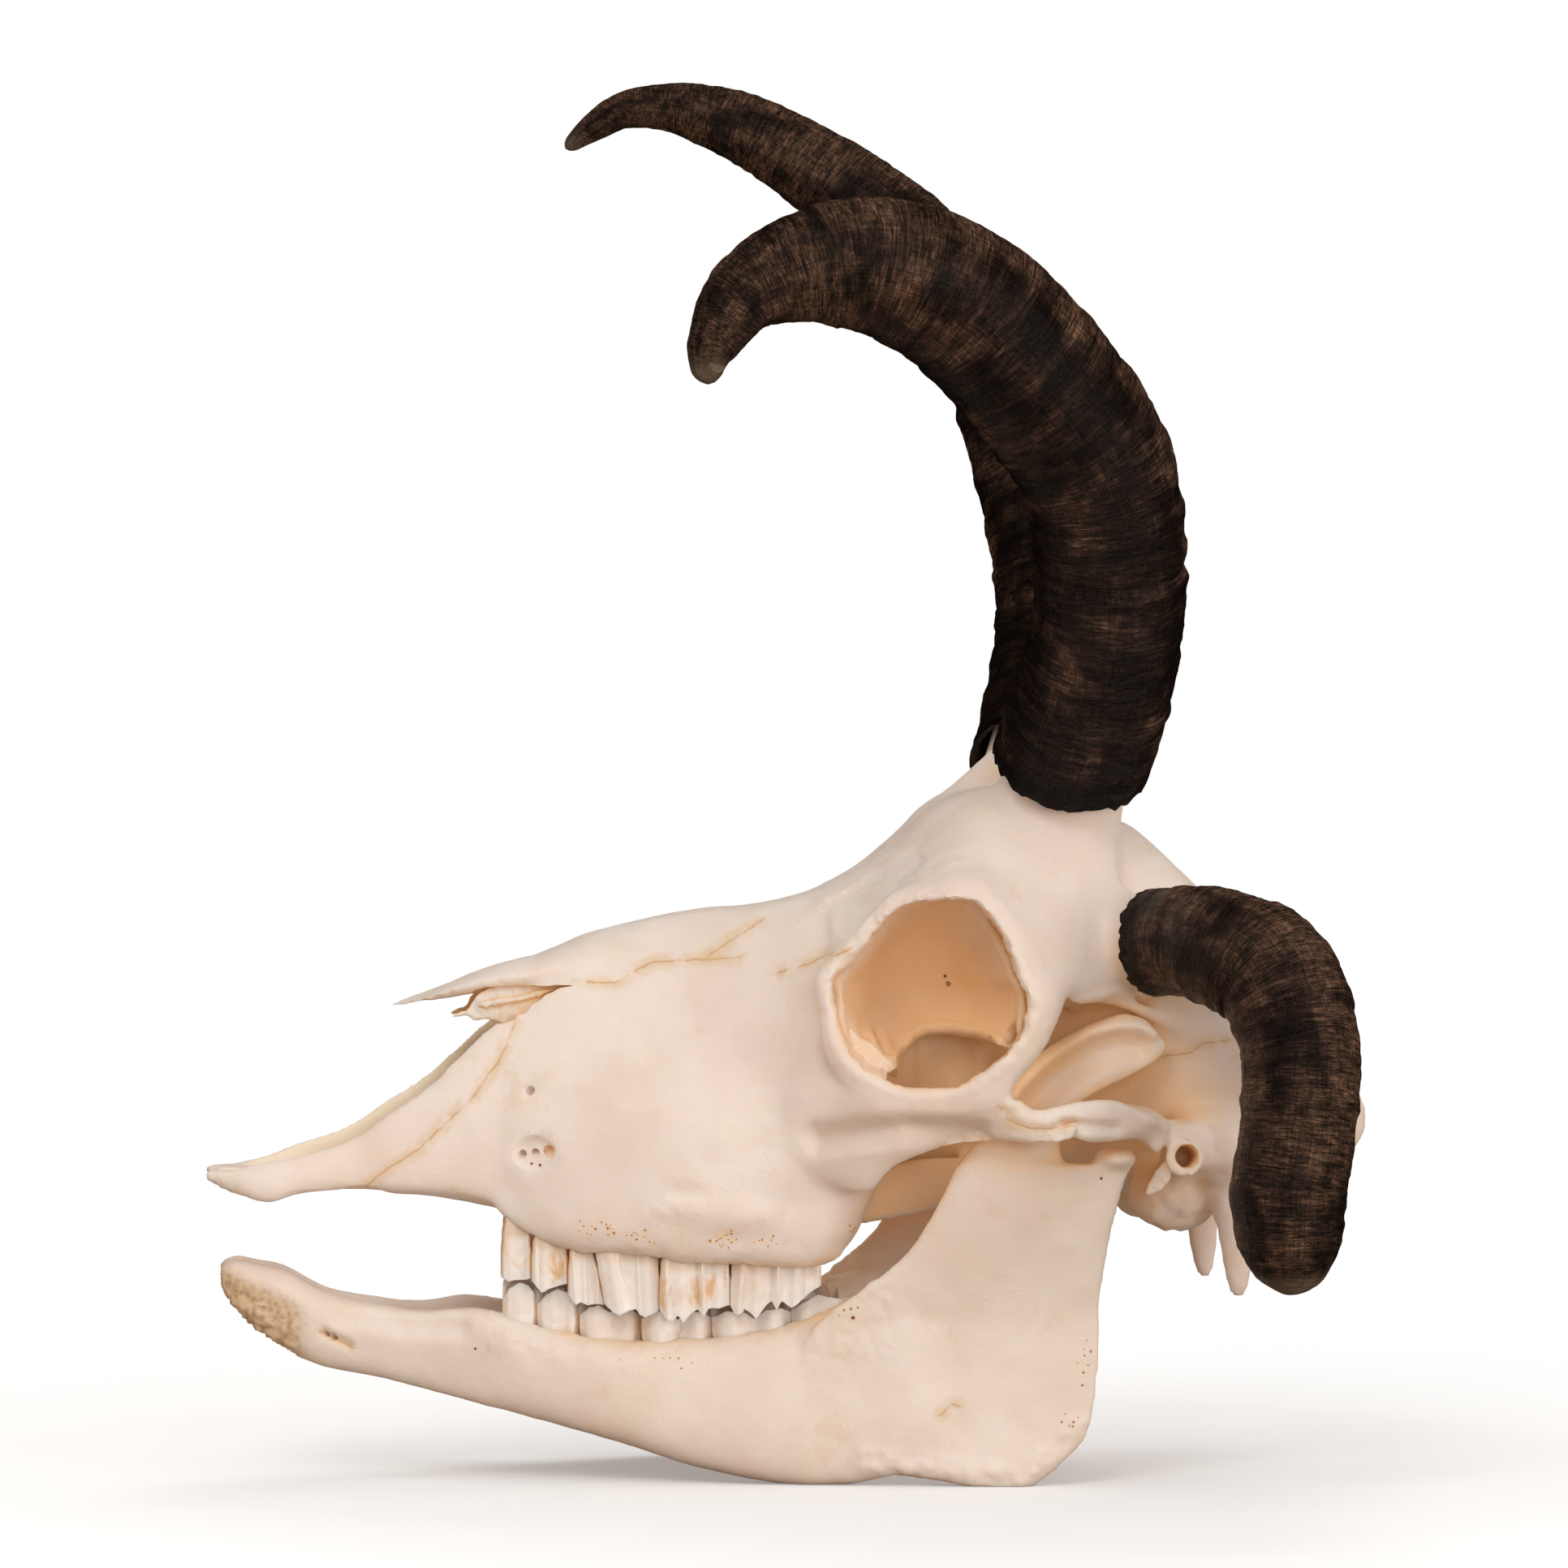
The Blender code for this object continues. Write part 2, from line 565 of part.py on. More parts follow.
def orbit_ring(bm, side):
    """The rim of the eye socket, further out at its rear."""
    rows = []
    count = 24
    radius = ORBIT_RADIUS + ORBIT_RIM * 0.7
    for k in range(count + 1):
        turn = 2 * math.pi * k / count
        y = ORBIT_MIDDLE_Y + ORBIT_REAR_FLARE * math.cos(turn)
        rows.append((ORBIT_X + radius * math.cos(turn), y, ORBIT_Z + radius * math.sin(turn), ORBIT_RIM))
    tube(bm, rows, side, steps=1, sides=8)


def bore_radius(radius, share):
    """Inner radius of a sheath: a thin rim, a thicker wall further in, and a narrowing end."""
    wall = RIM_WALL + (HORN_WALL - RIM_WALL) * min(1.0, 3.0 * share)
    return (radius - wall) * (1.0 - 0.5 * share**2)


def horn_core(bm, horn, side, root):
    """The bony peg inside a sheath, with the root that it grows from."""
    rows = eased(horn, 4)
    reach = int(len(rows) * CORE_SHARE)
    peg = list(root)
    for i in range(0, reach + 1, 2):
        x, y, z, radius = rows[i]
        peg.append((x, y, z, bore_radius(radius, i / reach) - CORE_PLAY))
    tube(bm, peg, side)


def cranium_hollows(bm):
    """The spaces of nose, throat, braincase, eyes and ears."""
    symmetric_loft(bm, NOSE_HOLLOW, steps=2)
    symmetric_loft(bm, THROAT_HOLLOW, steps=2)
    tube(bm, BRAIN_HOLLOW)
    for side in BOTH_SIDES:
        tube(bm, ORBIT_HOLLOW, side, steps=2, sides=20)
        tube(bm, EAR_HOLLOW, side, steps=1, sides=8)


def tooth_ring(first, last, outer, inner, z, side, notch, slant=0.0):
    """One section of a cheek tooth: ribs on the outer face, lobes on the inner."""
    length = last - first
    middle = (first + last) / 2
    outline = (
        (first + 0.05 * length, outer),
        (middle - 0.24 * length, outer - notch),
        (middle, outer - 0.2),
        (middle + 0.24 * length, outer - notch),
        (last - 0.05 * length, outer),
        (last, (outer + inner) / 2),
        (middle + 0.25 * length, inner),
        (middle, inner + notch),
        (middle - 0.25 * length, inner),
        (first, (outer + inner) / 2),
    )
    ring = []
    for x, y in outline:
        share = (outer - y) / (outer - inner)
        ring.append((x, y * side, z + slant * share))
    return ring


def tooth(name, row, side, upper, collection):
    """A cheek tooth with a short root, its biting edge cut in cusps."""
    _, first, last, gum, edge_out, edge_in, outer, inner = row
    away = 1 if upper else -1
    root = 0.55
    rings = [
        tooth_ring(first + 1.2, last - 1.2, outer - 1.2, inner + 1.2, gum + away * ROOT_LENGTH, side, root),
        tooth_ring(first + 0.5, last - 0.5, outer - 0.7, inner + 0.7, gum + away * 1.0, side, root),
        tooth_ring(first, last, outer, inner, (gum + edge_out) / 2, side, 1.0),
        tooth_ring(first, last, outer - 0.1, inner + 0.1, edge_out, side, 1.2, edge_in - edge_out),
    ]
    cusps = rings[-1]
    for i in (1, 3, 7):
        x, y, z = cusps[i]
        cusps[i] = (x, y, z + away * 1.1)
    bm = bmesh.new()
    loft(bm, rings)
    return make_object(name, bm, collection)


def socket_cutter(bm, teeth, side, upper):
    """The trench that holds a row of roots."""
    away = 1 if upper else -1
    play = GAP + 0.15
    rings = []
    for i, row in enumerate(teeth):
        _, first, last, gum, _, _, outer, inner = row
        starts = (first - play if i == 0 else first, last + play if i == len(teeth) - 1 else last)
        for x in starts:
            deep = gum + away * (ROOT_LENGTH + play)
            shallow = gum - away * 6.0
            corners = ((outer + play, shallow), (outer + play, deep), (inner - play, deep), (inner - play, shallow))
            rings.append([(x, y * side, z) for y, z in corners])
    loft(bm, rings)


def jaw_blocks(bm, side):
    """One half of the lower jaw as overlapping blocks."""
    blade(bm, JAW_BODY, side, squareness=0.7)
    blade(bm, RAMUS, side)
    blade(bm, CORONOID, side)
    ball(bm, JAW_JOINT_HEAD, side)


def sheath(name, horn, side, collection, drop, steps, sides=10):
    """A hollow horn: outer wall with growth ridges, inner wall round the bone core, and an oblique mouth."""
    rows = eased(horn, steps)
    points = [Vector((row[0], row[1] * side, row[2])) for row in rows]
    directions = frames(points)
    hollow = int(len(rows) * (CORE_SHARE + 0.08))
    low_side = Vector(drop[:3])
    low_side.y *= side
    low_side.normalize()
    fade_rings = steps * 2

    def ring(i, radius):
        tangent, across, up = directions[i]
        fade = max(0.0, 1.0 - i / fade_rings)
        result = []
        for k in range(sides):
            turn = 2 * math.pi * k / sides
            out = across * math.cos(turn) + up * math.sin(turn)
            result.append(points[i] + out * radius - tangent * (out.dot(low_side) * drop[3] * fade))
        return result

    rings = []
    for i in sorted({0, *range(hollow, 0, -2)}, reverse=True):
        rings.append(ring(i, bore_radius(rows[i][3], i / hollow)))
    for i, row in enumerate(rows):
        wave = HORN_RIDGES * math.cos(math.pi * i) * (1.0 - i / len(rows))
        rings.append(ring(i, row[3] * (1.0 + wave)))
    bm = bmesh.new()
    loft(bm, rings)
    return make_object(name, bm, collection)


def material(name, colour, roughness):
    """A plain material with the colour of the real surface."""
    result = bpy.data.materials.new(name)
    result.use_nodes = True
    shader = result.node_tree.nodes["Principled BSDF"]
    shader.inputs["Base Color"].default_value = (*colour, 1.0)
    shader.inputs["Roughness"].default_value = roughness
    shader.inputs["Metallic"].default_value = 0.0
    return result


def build_cranium(parts, cutters):
    """The upper skull, its cavities and its tooth sockets."""
    bm = bmesh.new()
    cranium_blocks(bm)
    cranium = make_object("cranium", bm, parts)
    fuse(cranium, BONE_VOXEL, 6)
    hollows = bmesh.new()
    cranium_hollows(hollows)
    carve(cranium, make_object("cranium_hollows", hollows, cutters))
    fuse(cranium, BONE_VOXEL, 2)
    thin_out(cranium, CRANIUM_TRIANGLES)
    sockets = bmesh.new()
    for side in BOTH_SIDES:
        socket_cutter(sockets, UPPER_TEETH, side, True)
    carve(cranium, make_object("upper_sockets", sockets, cutters))
    return cranium


def build_jaw(name, side, parts, cutters):
    """One half of the lower jaw, flat at the chin, with its sockets."""
    bm = bmesh.new()
    jaw_blocks(bm, side)
    jaw = make_object(name, bm, parts)
    fuse(jaw, JAW_VOXEL, 4)
    thin_out(jaw, JAW_TRIANGLES)
    cuts = bmesh.new()
    socket_cutter(cuts, LOWER_TEETH, side, False)
    place = Matrix.Translation(Vector((-0.11, -side * (0.02 - CHIN_GAP * MM), 0.03)))
    bmesh.ops.create_cube(cuts, size=0.04, matrix=place @ Matrix.Diagonal((2.0, 1.0, 2.0, 1.0)))
    ground = Matrix.Translation(Vector((0.02, side * 0.035, -0.01)))
    bmesh.ops.create_cube(cuts, size=0.02, matrix=ground @ Matrix.Diagonal((8.0, 3.0, 1.0, 1.0)))
    carve(jaw, make_object(name + "_cuts", cuts, cutters))
    return jaw


def main():
    for obj in list(bpy.data.objects):
        bpy.data.objects.remove(obj, do_unlink=True)
    parts = bpy.data.collections.new("four_horned_skull")
    cutters = bpy.data.collections.new("cutters")
    for collection in (parts, cutters):
        bpy.context.scene.collection.children.link(collection)

    bone = material("cranium_bone", (0.84, 0.75, 0.62), 0.5)
    jaw_bone = material("jaw_bone", (0.85, 0.76, 0.60), 0.5)
    enamel = material("tooth_enamel", (0.86, 0.80, 0.70), 0.3)
    horn = material("dark_horn", (0.05, 0.035, 0.025), 0.5)

    build_cranium(parts, cutters).data.materials.append(bone)
    for side, word in ((LEFT, "left"), (RIGHT, "right")):
        build_jaw("mandible_" + word, side, parts, cutters).data.materials.append(jaw_bone)
        for row in UPPER_TEETH:
            tooth(f"upper_{word}_{row[0]}", row, side, True, parts).data.materials.append(enamel)
        for row in LOWER_TEETH:
            tooth(f"lower_{word}_{row[0]}", row, side, False, parts).data.materials.append(enamel)
        lateral = sheath(f"lateral_horn_{word}", LATERAL_HORN, side, parts, (0, 0, 1, 0.0), 2)
        lateral.data.materials.append(horn)
    left_horn = sheath("upper_horn_left", UPPER_LEFT_HORN, 1, parts, (-0.1, -1, 0, 6.5), 3)
    left_horn.data.materials.append(horn)
    right_horn = sheath("upper_horn_right", UPPER_RIGHT_HORN, 1, parts, (-0.1, 1, 0, 6.5), 3)
    right_horn.data.materials.append(horn)

    for obj in parts.objects:
        obj.data.shade_smooth()
        obj.data.set_sharp_from_angle(angle=math.radians(40))


main()
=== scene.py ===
# %% [markdown]
# A four-horned sheep's skull, cleaned and bleached, stands on its lower jaw. The bone is one grown
# cranium with four bony pegs, two jaw halves and 24 cheek teeth, and a hollow horn sits on each peg.
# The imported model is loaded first. It says where everything is, and nothing in it is moved.

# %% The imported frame
import json
import math
import time

import bpy
import numpy as np
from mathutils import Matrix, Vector
from mathutils.bvhtree import BVHTree

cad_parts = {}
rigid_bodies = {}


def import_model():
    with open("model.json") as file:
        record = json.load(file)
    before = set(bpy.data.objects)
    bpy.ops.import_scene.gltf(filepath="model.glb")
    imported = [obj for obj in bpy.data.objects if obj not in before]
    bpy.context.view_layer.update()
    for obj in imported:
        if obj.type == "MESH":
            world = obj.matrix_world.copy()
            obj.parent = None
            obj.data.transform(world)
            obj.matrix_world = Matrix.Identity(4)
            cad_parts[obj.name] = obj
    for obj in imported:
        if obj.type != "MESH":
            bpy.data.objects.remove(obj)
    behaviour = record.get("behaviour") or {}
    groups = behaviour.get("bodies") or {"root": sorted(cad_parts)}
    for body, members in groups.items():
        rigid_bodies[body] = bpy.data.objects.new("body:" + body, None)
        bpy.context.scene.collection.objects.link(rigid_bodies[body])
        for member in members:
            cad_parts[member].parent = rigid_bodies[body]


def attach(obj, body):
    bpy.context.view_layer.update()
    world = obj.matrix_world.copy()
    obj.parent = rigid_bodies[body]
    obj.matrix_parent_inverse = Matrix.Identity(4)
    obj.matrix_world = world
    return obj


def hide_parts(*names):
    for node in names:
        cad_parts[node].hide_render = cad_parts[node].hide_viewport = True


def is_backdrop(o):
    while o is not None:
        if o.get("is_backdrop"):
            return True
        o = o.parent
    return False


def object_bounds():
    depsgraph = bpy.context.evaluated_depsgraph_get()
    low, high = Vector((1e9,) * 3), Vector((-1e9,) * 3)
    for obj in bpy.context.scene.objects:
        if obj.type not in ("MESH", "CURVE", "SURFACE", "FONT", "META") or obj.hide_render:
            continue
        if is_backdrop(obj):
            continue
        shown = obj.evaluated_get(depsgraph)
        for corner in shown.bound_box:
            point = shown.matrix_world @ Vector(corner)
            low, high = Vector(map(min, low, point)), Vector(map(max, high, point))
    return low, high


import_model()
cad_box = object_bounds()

started = time.time()
MM = 0.001
LEFT, RIGHT = -1, 1
BOTH_SIDES = (LEFT, RIGHT)
WORDS = {LEFT: "left", RIGHT: "right"}
X, Y, Z = 0, 1, 2


def report(*facts):
    print(*facts, "after", round(time.time() - started, 1), "s")


report("CAD box in mm:", [[round(value / MM, 1) for value in corner] for corner in cad_box])

# %% [markdown]
# The camera stands 1.5 m in front of the skull's middle at half its height and looks slightly past it,
# as in a catalogue picture. A long lens keeps the near and the far horn in their true proportions.

# %% Camera
CAMERA_DISTANCE, CAMERA_HEIGHT = 1.5, 0.1515
CAMERA_TURN = math.radians(4)
SENSOR = 36
# The picture is 1932 pixels wide and shows 0.18 mm a pixel at the skull's middle plane.
LENS = SENSOR * CAMERA_DISTANCE / (1932 * 0.18 * MM)

place = (-CAMERA_DISTANCE * math.sin(CAMERA_TURN), -CAMERA_DISTANCE * math.cos(CAMERA_TURN), CAMERA_HEIGHT)
bpy.ops.object.camera_add(location=place, rotation=(math.radians(90), 0, -CAMERA_TURN))
camera = bpy.context.object
camera.data.sensor_width = SENSOR
camera.data.lens = LENS
camera.data.clip_end = 50
bpy.context.scene.camera = camera
report("lens", round(LENS, 1), "mm")

# %% [markdown]
# Shader sums read best as sums. A small class wraps a node's output, so that 1 - mask or a * b adds the
# Math nodes itself. Every other node comes from one method that takes its type, settings and inputs.

# %% Shader helpers
class Value:
    """An output of a node that can be used in sums."""

    def __init__(self, paint, socket):
        self.paint = paint
        self.socket = socket

    def math(self, operation, first, second=0.0):
        return self.paint.node("ShaderNodeMath", {"operation": operation}, {0: first, 1: second})

    def __add__(self, other):
        return self.math("ADD", self, other)

    def __sub__(self, other):
        return self.math("SUBTRACT", self, other)

    def __rsub__(self, other):
        return self.math("SUBTRACT", other, self)

    def __mul__(self, other):
        return self.math("MULTIPLY", self, other)

    def __abs__(self):
        return self.math("ABSOLUTE", self)

    __radd__ = __add__
    __rmul__ = __mul__


class Paint:
    """A material and the ways to add nodes to it."""

    def __init__(self, name):
        self.material = bpy.data.materials.new(name)
        self.material.use_nodes = True
        self.tree = self.material.node_tree
        self.place = self.node("ShaderNodeTexCoord", output="Object")

    def put(self, socket, value):
        """Links a node's output to a socket, or sets a plain value on it."""
        if isinstance(value, Value):
            self.tree.links.new(value.socket, socket)
        else:
            socket.default_value = value

    def node(self, kind, settings=None, inputs=None, output=0):
        made = self.tree.nodes.new(kind)
        for key, value in (settings or {}).items():
            setattr(made, key, value)
        for key, value in (inputs or {}).items():
            self.put(made.inputs[key], value)
        return Value(self, made.outputs[output])

    def noise(self, scale, detail=3.0, roughness=0.55, where=None, distortion=0.0):
        inputs = {"Vector": where or self.place, "Scale": scale, "Detail": detail}
        inputs.update({"Roughness": roughness, "Distortion": distortion})
        return self.node("ShaderNodeTexNoise", None, inputs)

    def cells(self, scale):
        return self.node("ShaderNodeTexVoronoi", None, {"Vector": self.place, "Scale": scale})

    def stretched(self, x, y, z):
        return self.node("ShaderNodeMapping", None, {"Vector": self.place, "Scale": (x, y, z)})

    def part(self, vector, axis):
        return self.node("ShaderNodeSeparateXYZ", None, {0: vector}, axis)

    def between(self, value, low, high, low_to=0.0, high_to=1.0):
        """Turns low..high into low_to..high_to and holds it at both ends."""
        inputs = {0: value, 1: low, 2: high, 3: low_to, 4: high_to}
        return self.node("ShaderNodeMapRange", {"clamp": True}, inputs)

    def blend(self, factor, first, second):
        """Mixes two colours."""
        colours = {6: first, 7: second}
        for key, value in colours.items():
            if isinstance(value, tuple):
                colours[key] = (*value, 1.0)
        return self.node("ShaderNodeMix", {"data_type": "RGBA"}, {0: factor, **colours}, output=2)

    def attribute(self, name, output="Fac"):
        return self.node("ShaderNodeAttribute", {"attribute_name": name}, output=output)

    def line(self, name, width, wiggle, wiggle_scale=420.0):
        """A thin wandering line from an attribute that holds distance across it and strength."""
        vector = self.attribute(name, "Vector")
        across = self.part(vector, X) + (self.noise(wiggle_scale, 2.0) - 0.5) * wiggle
        return self.between(abs(across), width * 0.25, width, 1.0, 0.0) * self.part(vector, Y)

    def bumps(self, *rows):
        """Bumps over one another, each with its height, how deep it is in metres and how strong."""
        normal = None
        for height, distance, strength in rows:
            inputs = {"Height": height, "Distance": distance, "Strength": strength}
            if normal:
                inputs["Normal"] = normal
            normal = self.node("ShaderNodeBump", None, inputs)
        return normal

    def finish(self, colour, roughness, others=None):
        """The finished material, with any other inputs of its shader by name."""
        shader = self.tree.nodes["Principled BSDF"]
        for name, value in {"Base Color": colour, "Roughness": roughness, **(others or {})}.items():
            self.put(shader.inputs[name], value)
        return self.material


# %% [markdown]
# The skull stands on a pale table in soft light: one large lamp high in front, weaker ones low in front and
# from the right, one from behind and a soft sky. A big white shell closes the view. Only the camera sees it,
# so it adds no light of its own and the dark horns stay dark.

# %% Table, background and light
MIDDLE = Vector((0, 0, 0.13))
WARM_WHITE = (1.0, 0.98, 0.965)
# Place in metres, size of the disk and power in watts.
LAMPS = {
    "key_light": ((-0.6, -1.45, 1.3), 0.9, 9.5, WARM_WHITE),
    "front_light": ((0.3, -1.7, 0.3), 0.8, 5.2, WARM_WHITE),
    "right_light": ((1.5, -1.15, 0.25), 0.8, 8.0, WARM_WHITE),
    "back_light": ((0.3, 1.5, 1.5), 1.0, 9.0, (1.0, 1.0, 1.0)),
}
for name, (place, size, power, colour) in LAMPS.items():
    bpy.ops.object.light_add(type="AREA", location=place)
    lamp = bpy.context.object
    lamp.name = name
    lamp.data.shape = "DISK"
    lamp.data.size = size
    lamp.data.energy = power
    lamp.data.color = colour
    lamp.rotation_euler = (MIDDLE - Vector(place)).to_track_quat("-Z", "Y").to_euler()
# The last lamp, behind, lights the edges of the bone and isn't mirrored by the horn.
lamp.visible_glossy = False

# The sky is brighter overhead than at the horizon. Dark horn would mirror it as a grey veil, so reflections
# don't see it and only show the lamps.
world = bpy.data.worlds.new("soft_sky")
bpy.context.scene.world = world
world.use_nodes = True
sky = world.node_tree
sky_place = sky.nodes.new("ShaderNodeTexCoord")
sky_height = sky.nodes.new("ShaderNodeSeparateXYZ")
sky_strength = sky.nodes.new("ShaderNodeMapRange")
for key, value in {1: -0.1, 2: 1.0, 3: 0.47, 4: 0.78}.items():
    sky_strength.inputs[key].default_value = value
sky.links.new(sky_place.outputs["Generated"], sky_height.inputs[0])
sky.links.new(sky_height.outputs[Z], sky_strength.inputs[0])
sky.links.new(sky_strength.outputs[0], sky.nodes["Background"].inputs["Strength"])
sky.nodes["Background"].inputs["Color"].default_value = (1.0, 0.97, 0.94, 1.0)
world.cycles_visibility.glossy = False
bpy.context.scene.view_settings.view_transform = "Standard"


def staged(name, material, *rays):
    """Stages the newest object, seen by these rays alone."""
    obj = bpy.context.object
    obj.name = name
    obj.data.materials.append(material)
    for kind in ("camera", "diffuse", "glossy", "transmission", "volume_scatter", "shadow"):
        setattr(obj, "visible_" + kind, kind in rays)
    obj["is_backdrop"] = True


MATT = {"Specular IOR Level": 0.0}
# The camera sees a nearly white table. A darker one in the same place throws the light back, as much as a
# table does whose far parts lie in shade, so that the underside of the bone keeps its own shade.
bpy.ops.mesh.primitive_plane_add(size=16, location=(0, 0, -0.0002))
paint = Paint("pale_table")
from_middle = paint.node("ShaderNodeVectorMath", {"operation": "LENGTH"}, {0: paint.place}, output=1)
glow = {"Emission Strength": 1.0, "Emission Color": paint.between(from_middle, 0.18, 0.9, 0.22, 1.0)}
pale = paint.blend(paint.between(from_middle, 0.2, 0.9), (0.80, 0.80, 0.80), (0.02, 0.02, 0.02))
staged("table", paint.finish(pale, 0.9, {**glow, **MATT}), "camera")

bpy.ops.mesh.primitive_plane_add(size=16, location=(0, 0, -0.0004))
bounce = Paint("table_bounce").finish((0.48, 0.39, 0.31, 1.0), 0.9, MATT)
staged("table_light", bounce, "diffuse", "transmission")

bpy.ops.mesh.primitive_uv_sphere_add(segments=48, ring_count=24, radius=9)
glow = {"Emission Strength": 1.0, "Emission Color": (1, 1, 1, 1)}
white = Paint("white_paper").finish((0.0, 0.0, 0.0, 1.0), 1.0, {**glow, **MATT})
staged("white_background", white, "camera")

# %% [markdown]
# Rows of sections describe the bone, in millimetres, as in the solid model. Some helpers lay smooth curves
# through such rows, along the bone and around each section.

# %% Smooth curves through rows of numbers
def curve_between(a, b, c, d, steps):
    """Points of a smooth curve from every b to its c."""
    t = (np.arange(steps) / steps)[None, :, None]
    a, b, c, d = (value[:, None, :] for value in (a, b, c, d))
    bend = 2 * a - 5 * b + 4 * c - d
    return 0.5 * (2 * b + (c - a) * t + bend * t**2 + (3 * b - a - 3 * c + d) * t**3)


def eased(rows, steps):
    """Rows of numbers with a smooth curve laid through them."""
    rows = np.asarray(rows, dtype=float)
    padded = np.concatenate([rows[:1], rows, rows[-1:]])
    corners = [padded[i : len(rows) - 1 + i] for i in range(4)]
    curve = curve_between(*corners, steps).reshape(-1, rows.shape[1])
    return np.concatenate([curve, rows[-1:]])


def eased_loop(points, steps):
    """A closed line with a smooth curve laid through it."""
    points = np.asarray(points, dtype=float)
    corners = [np.roll(points, 1 - i, axis=0) for i in range(4)]
    return curve_between(*corners, steps).reshape(-1, points.shape[1])


def unit(vectors):
    return vectors / np.maximum(np.linalg.norm(vectors, axis=-1, keepdims=True), 1e-9)


# %% [markdown]
# Every long form starts as a flat grid that is rolled up: its rows become rings, the seam is merged and the
# open ends are filled. The same start serves bone bars, horns and teeth.

# %% Rolling a grid into a tube
def select(*objs):
    bpy.ops.object.select_all(action="DESELECT")
    for obj in objs:
        obj.select_set(True)
    bpy.context.view_layer.objects.active = objs[0]


def rolled(name, rings, lengths=None):
    """A grid rolled through rings of points in millimetres. With lengths its UV map runs round and along."""
    rings = np.asarray(rings) * MM
    count, sides, _ = rings.shape
    bpy.ops.object.select_all(action="DESELECT")
    bpy.ops.mesh.primitive_grid_add(x_subdivisions=sides, y_subdivisions=count - 1, size=MM)
    obj = bpy.context.object
    obj.name = obj.data.name = name
    obj.data.vertices.foreach_set("co", np.concatenate([rings, rings[:, :1]], axis=1).ravel())
    if lengths is not None:
        layer = obj.data.uv_layers.active.data
        flat = np.empty(len(layer) * 2, dtype=np.float32)
        layer.foreach_get("uv", flat)
        rows = np.rint(flat[1::2] * (count - 1)).astype(int)
        flat[1::2] = np.asarray(lengths)[rows]
        layer.foreach_set("uv", flat)
    bpy.ops.object.mode_set(mode="EDIT")
    bpy.ops.mesh.select_all(action="SELECT")
    bpy.ops.mesh.remove_doubles(threshold=1e-7)
    bpy.ops.mesh.fill_holes(sides=0)
    bpy.ops.mesh.normals_make_consistent(inside=False)
    bpy.ops.object.mode_set(mode="OBJECT")
    return obj


def joined(name, pieces):
    """One object from many, all at the origin."""
    select(*pieces)
    bpy.ops.object.join()
    pieces[0].name = pieces[0].data.name = name
    return pieces[0]


def settled(name, scale, place, turns=(0, 0, 0)):
    """Moves, turns in degrees and scales the newest object, all of it in its mesh; places in millimetres."""
    obj = bpy.context.object
    obj.name = name
    obj.scale = scale
    obj.rotation_euler = [math.radians(value) for value in turns]
    obj.location = Vector(place) * MM
    bpy.ops.object.transform_apply(location=True, rotation=True, scale=True)
    return obj


def with_modifier(obj, kind, **settings):
    """Adds a modifier, sets it and applies it."""
    select(obj)
    modifier = obj.modifiers.new(kind.lower(), kind)
    for key, value in settings.items():
        setattr(modifier, key, value)
    bpy.ops.object.modifier_apply(modifier=modifier.name)


def combine(obj, other, operation):
    """Adds the other object's shape or takes it away, and drops the other object."""
    with_modifier(obj, "BOOLEAN", operation=operation, solver="MANIFOLD", object=other)
    bpy.data.objects.remove(other, do_unlink=True)


def fuse(obj, voxel, smoothing):
    """Melts overlapping forms into one skin and softens it."""
    with_modifier(obj, "REMESH", mode="VOXEL", voxel_size=voxel * MM, use_smooth_shade=True)
    if smoothing:
        with_modifier(obj, "SMOOTH", factor=0.5, iterations=smoothing)


def triangles(obj):
    return sum(len(face.vertices) - 2 for face in obj.data.polygons)


def thin_out(obj, goal):
    """Fewer triangles, spent where the shape bends."""
    count = triangles(obj)
    if count > goal:
        with_modifier(obj, "DECIMATE", ratio=goal / count)
    report(obj.name, "has", triangles(obj), "triangles of", count)


# %% [markdown]
# A flattened bone bar is given by its two edge lines and half its thickness, a round one by a centre line
# and radii, and the face by half sections that are mirrored at the middle plane.

# %% Forms from rows
def around(sides, squareness=1.0):
    """Cosines and sines of full turns, pushed out towards a square."""
    turns = np.arange(sides) * 2 * np.pi / sides
    c, s = np.cos(turns), np.sin(turns)
    return np.sign(c) * np.abs(c) ** squareness, np.sign(s) * np.abs(s) ** squareness


def blade_rings(rows, side=1, squareness=0.8):
    """Rings of a bar from one edge, the other edge and half the thickness."""
    rows = eased(rows, 6)
    mirror = np.array((1, side, 1))
    first, second = rows[:, 0:3] * mirror, rows[:, 3:6] * mirror
    middle, reach = (first + second) / 2, (second - first) / 2
    thick = unit(np.cross(np.gradient(middle, axis=0), reach)) * rows[:, 6:7]
    c, s = around(28, squareness)
    return middle[:, None] + reach[:, None] * c[None, :, None] + thick[:, None] * s[None, :, None]


def carried_frames(points):
    """Two cross directions at every point of a path, carried along it without twist."""
    tangents = unit(np.gradient(points, axis=0))
    across = np.array(Vector(tangents[0]).orthogonal().normalized())
    result = []
    for tangent in tangents:
        across = unit(across - tangent * (across @ tangent))
        result.append((tangent, across, np.cross(tangent, across)))
    return result


def tube_rings(rows, side=1, steps=6, sides=28):
    """Rings of a tube from its centre line and radii."""
    rows = eased(rows, steps)
    points = rows[:, :3] * (1, side, 1)
    c, s = around(sides)
    rings = []
    for point, row, (_, across, up) in zip(points, rows, carried_frames(points)):
        rings.append(point + (np.outer(c, across) + np.outer(s, up)) * row[3])
    return rings


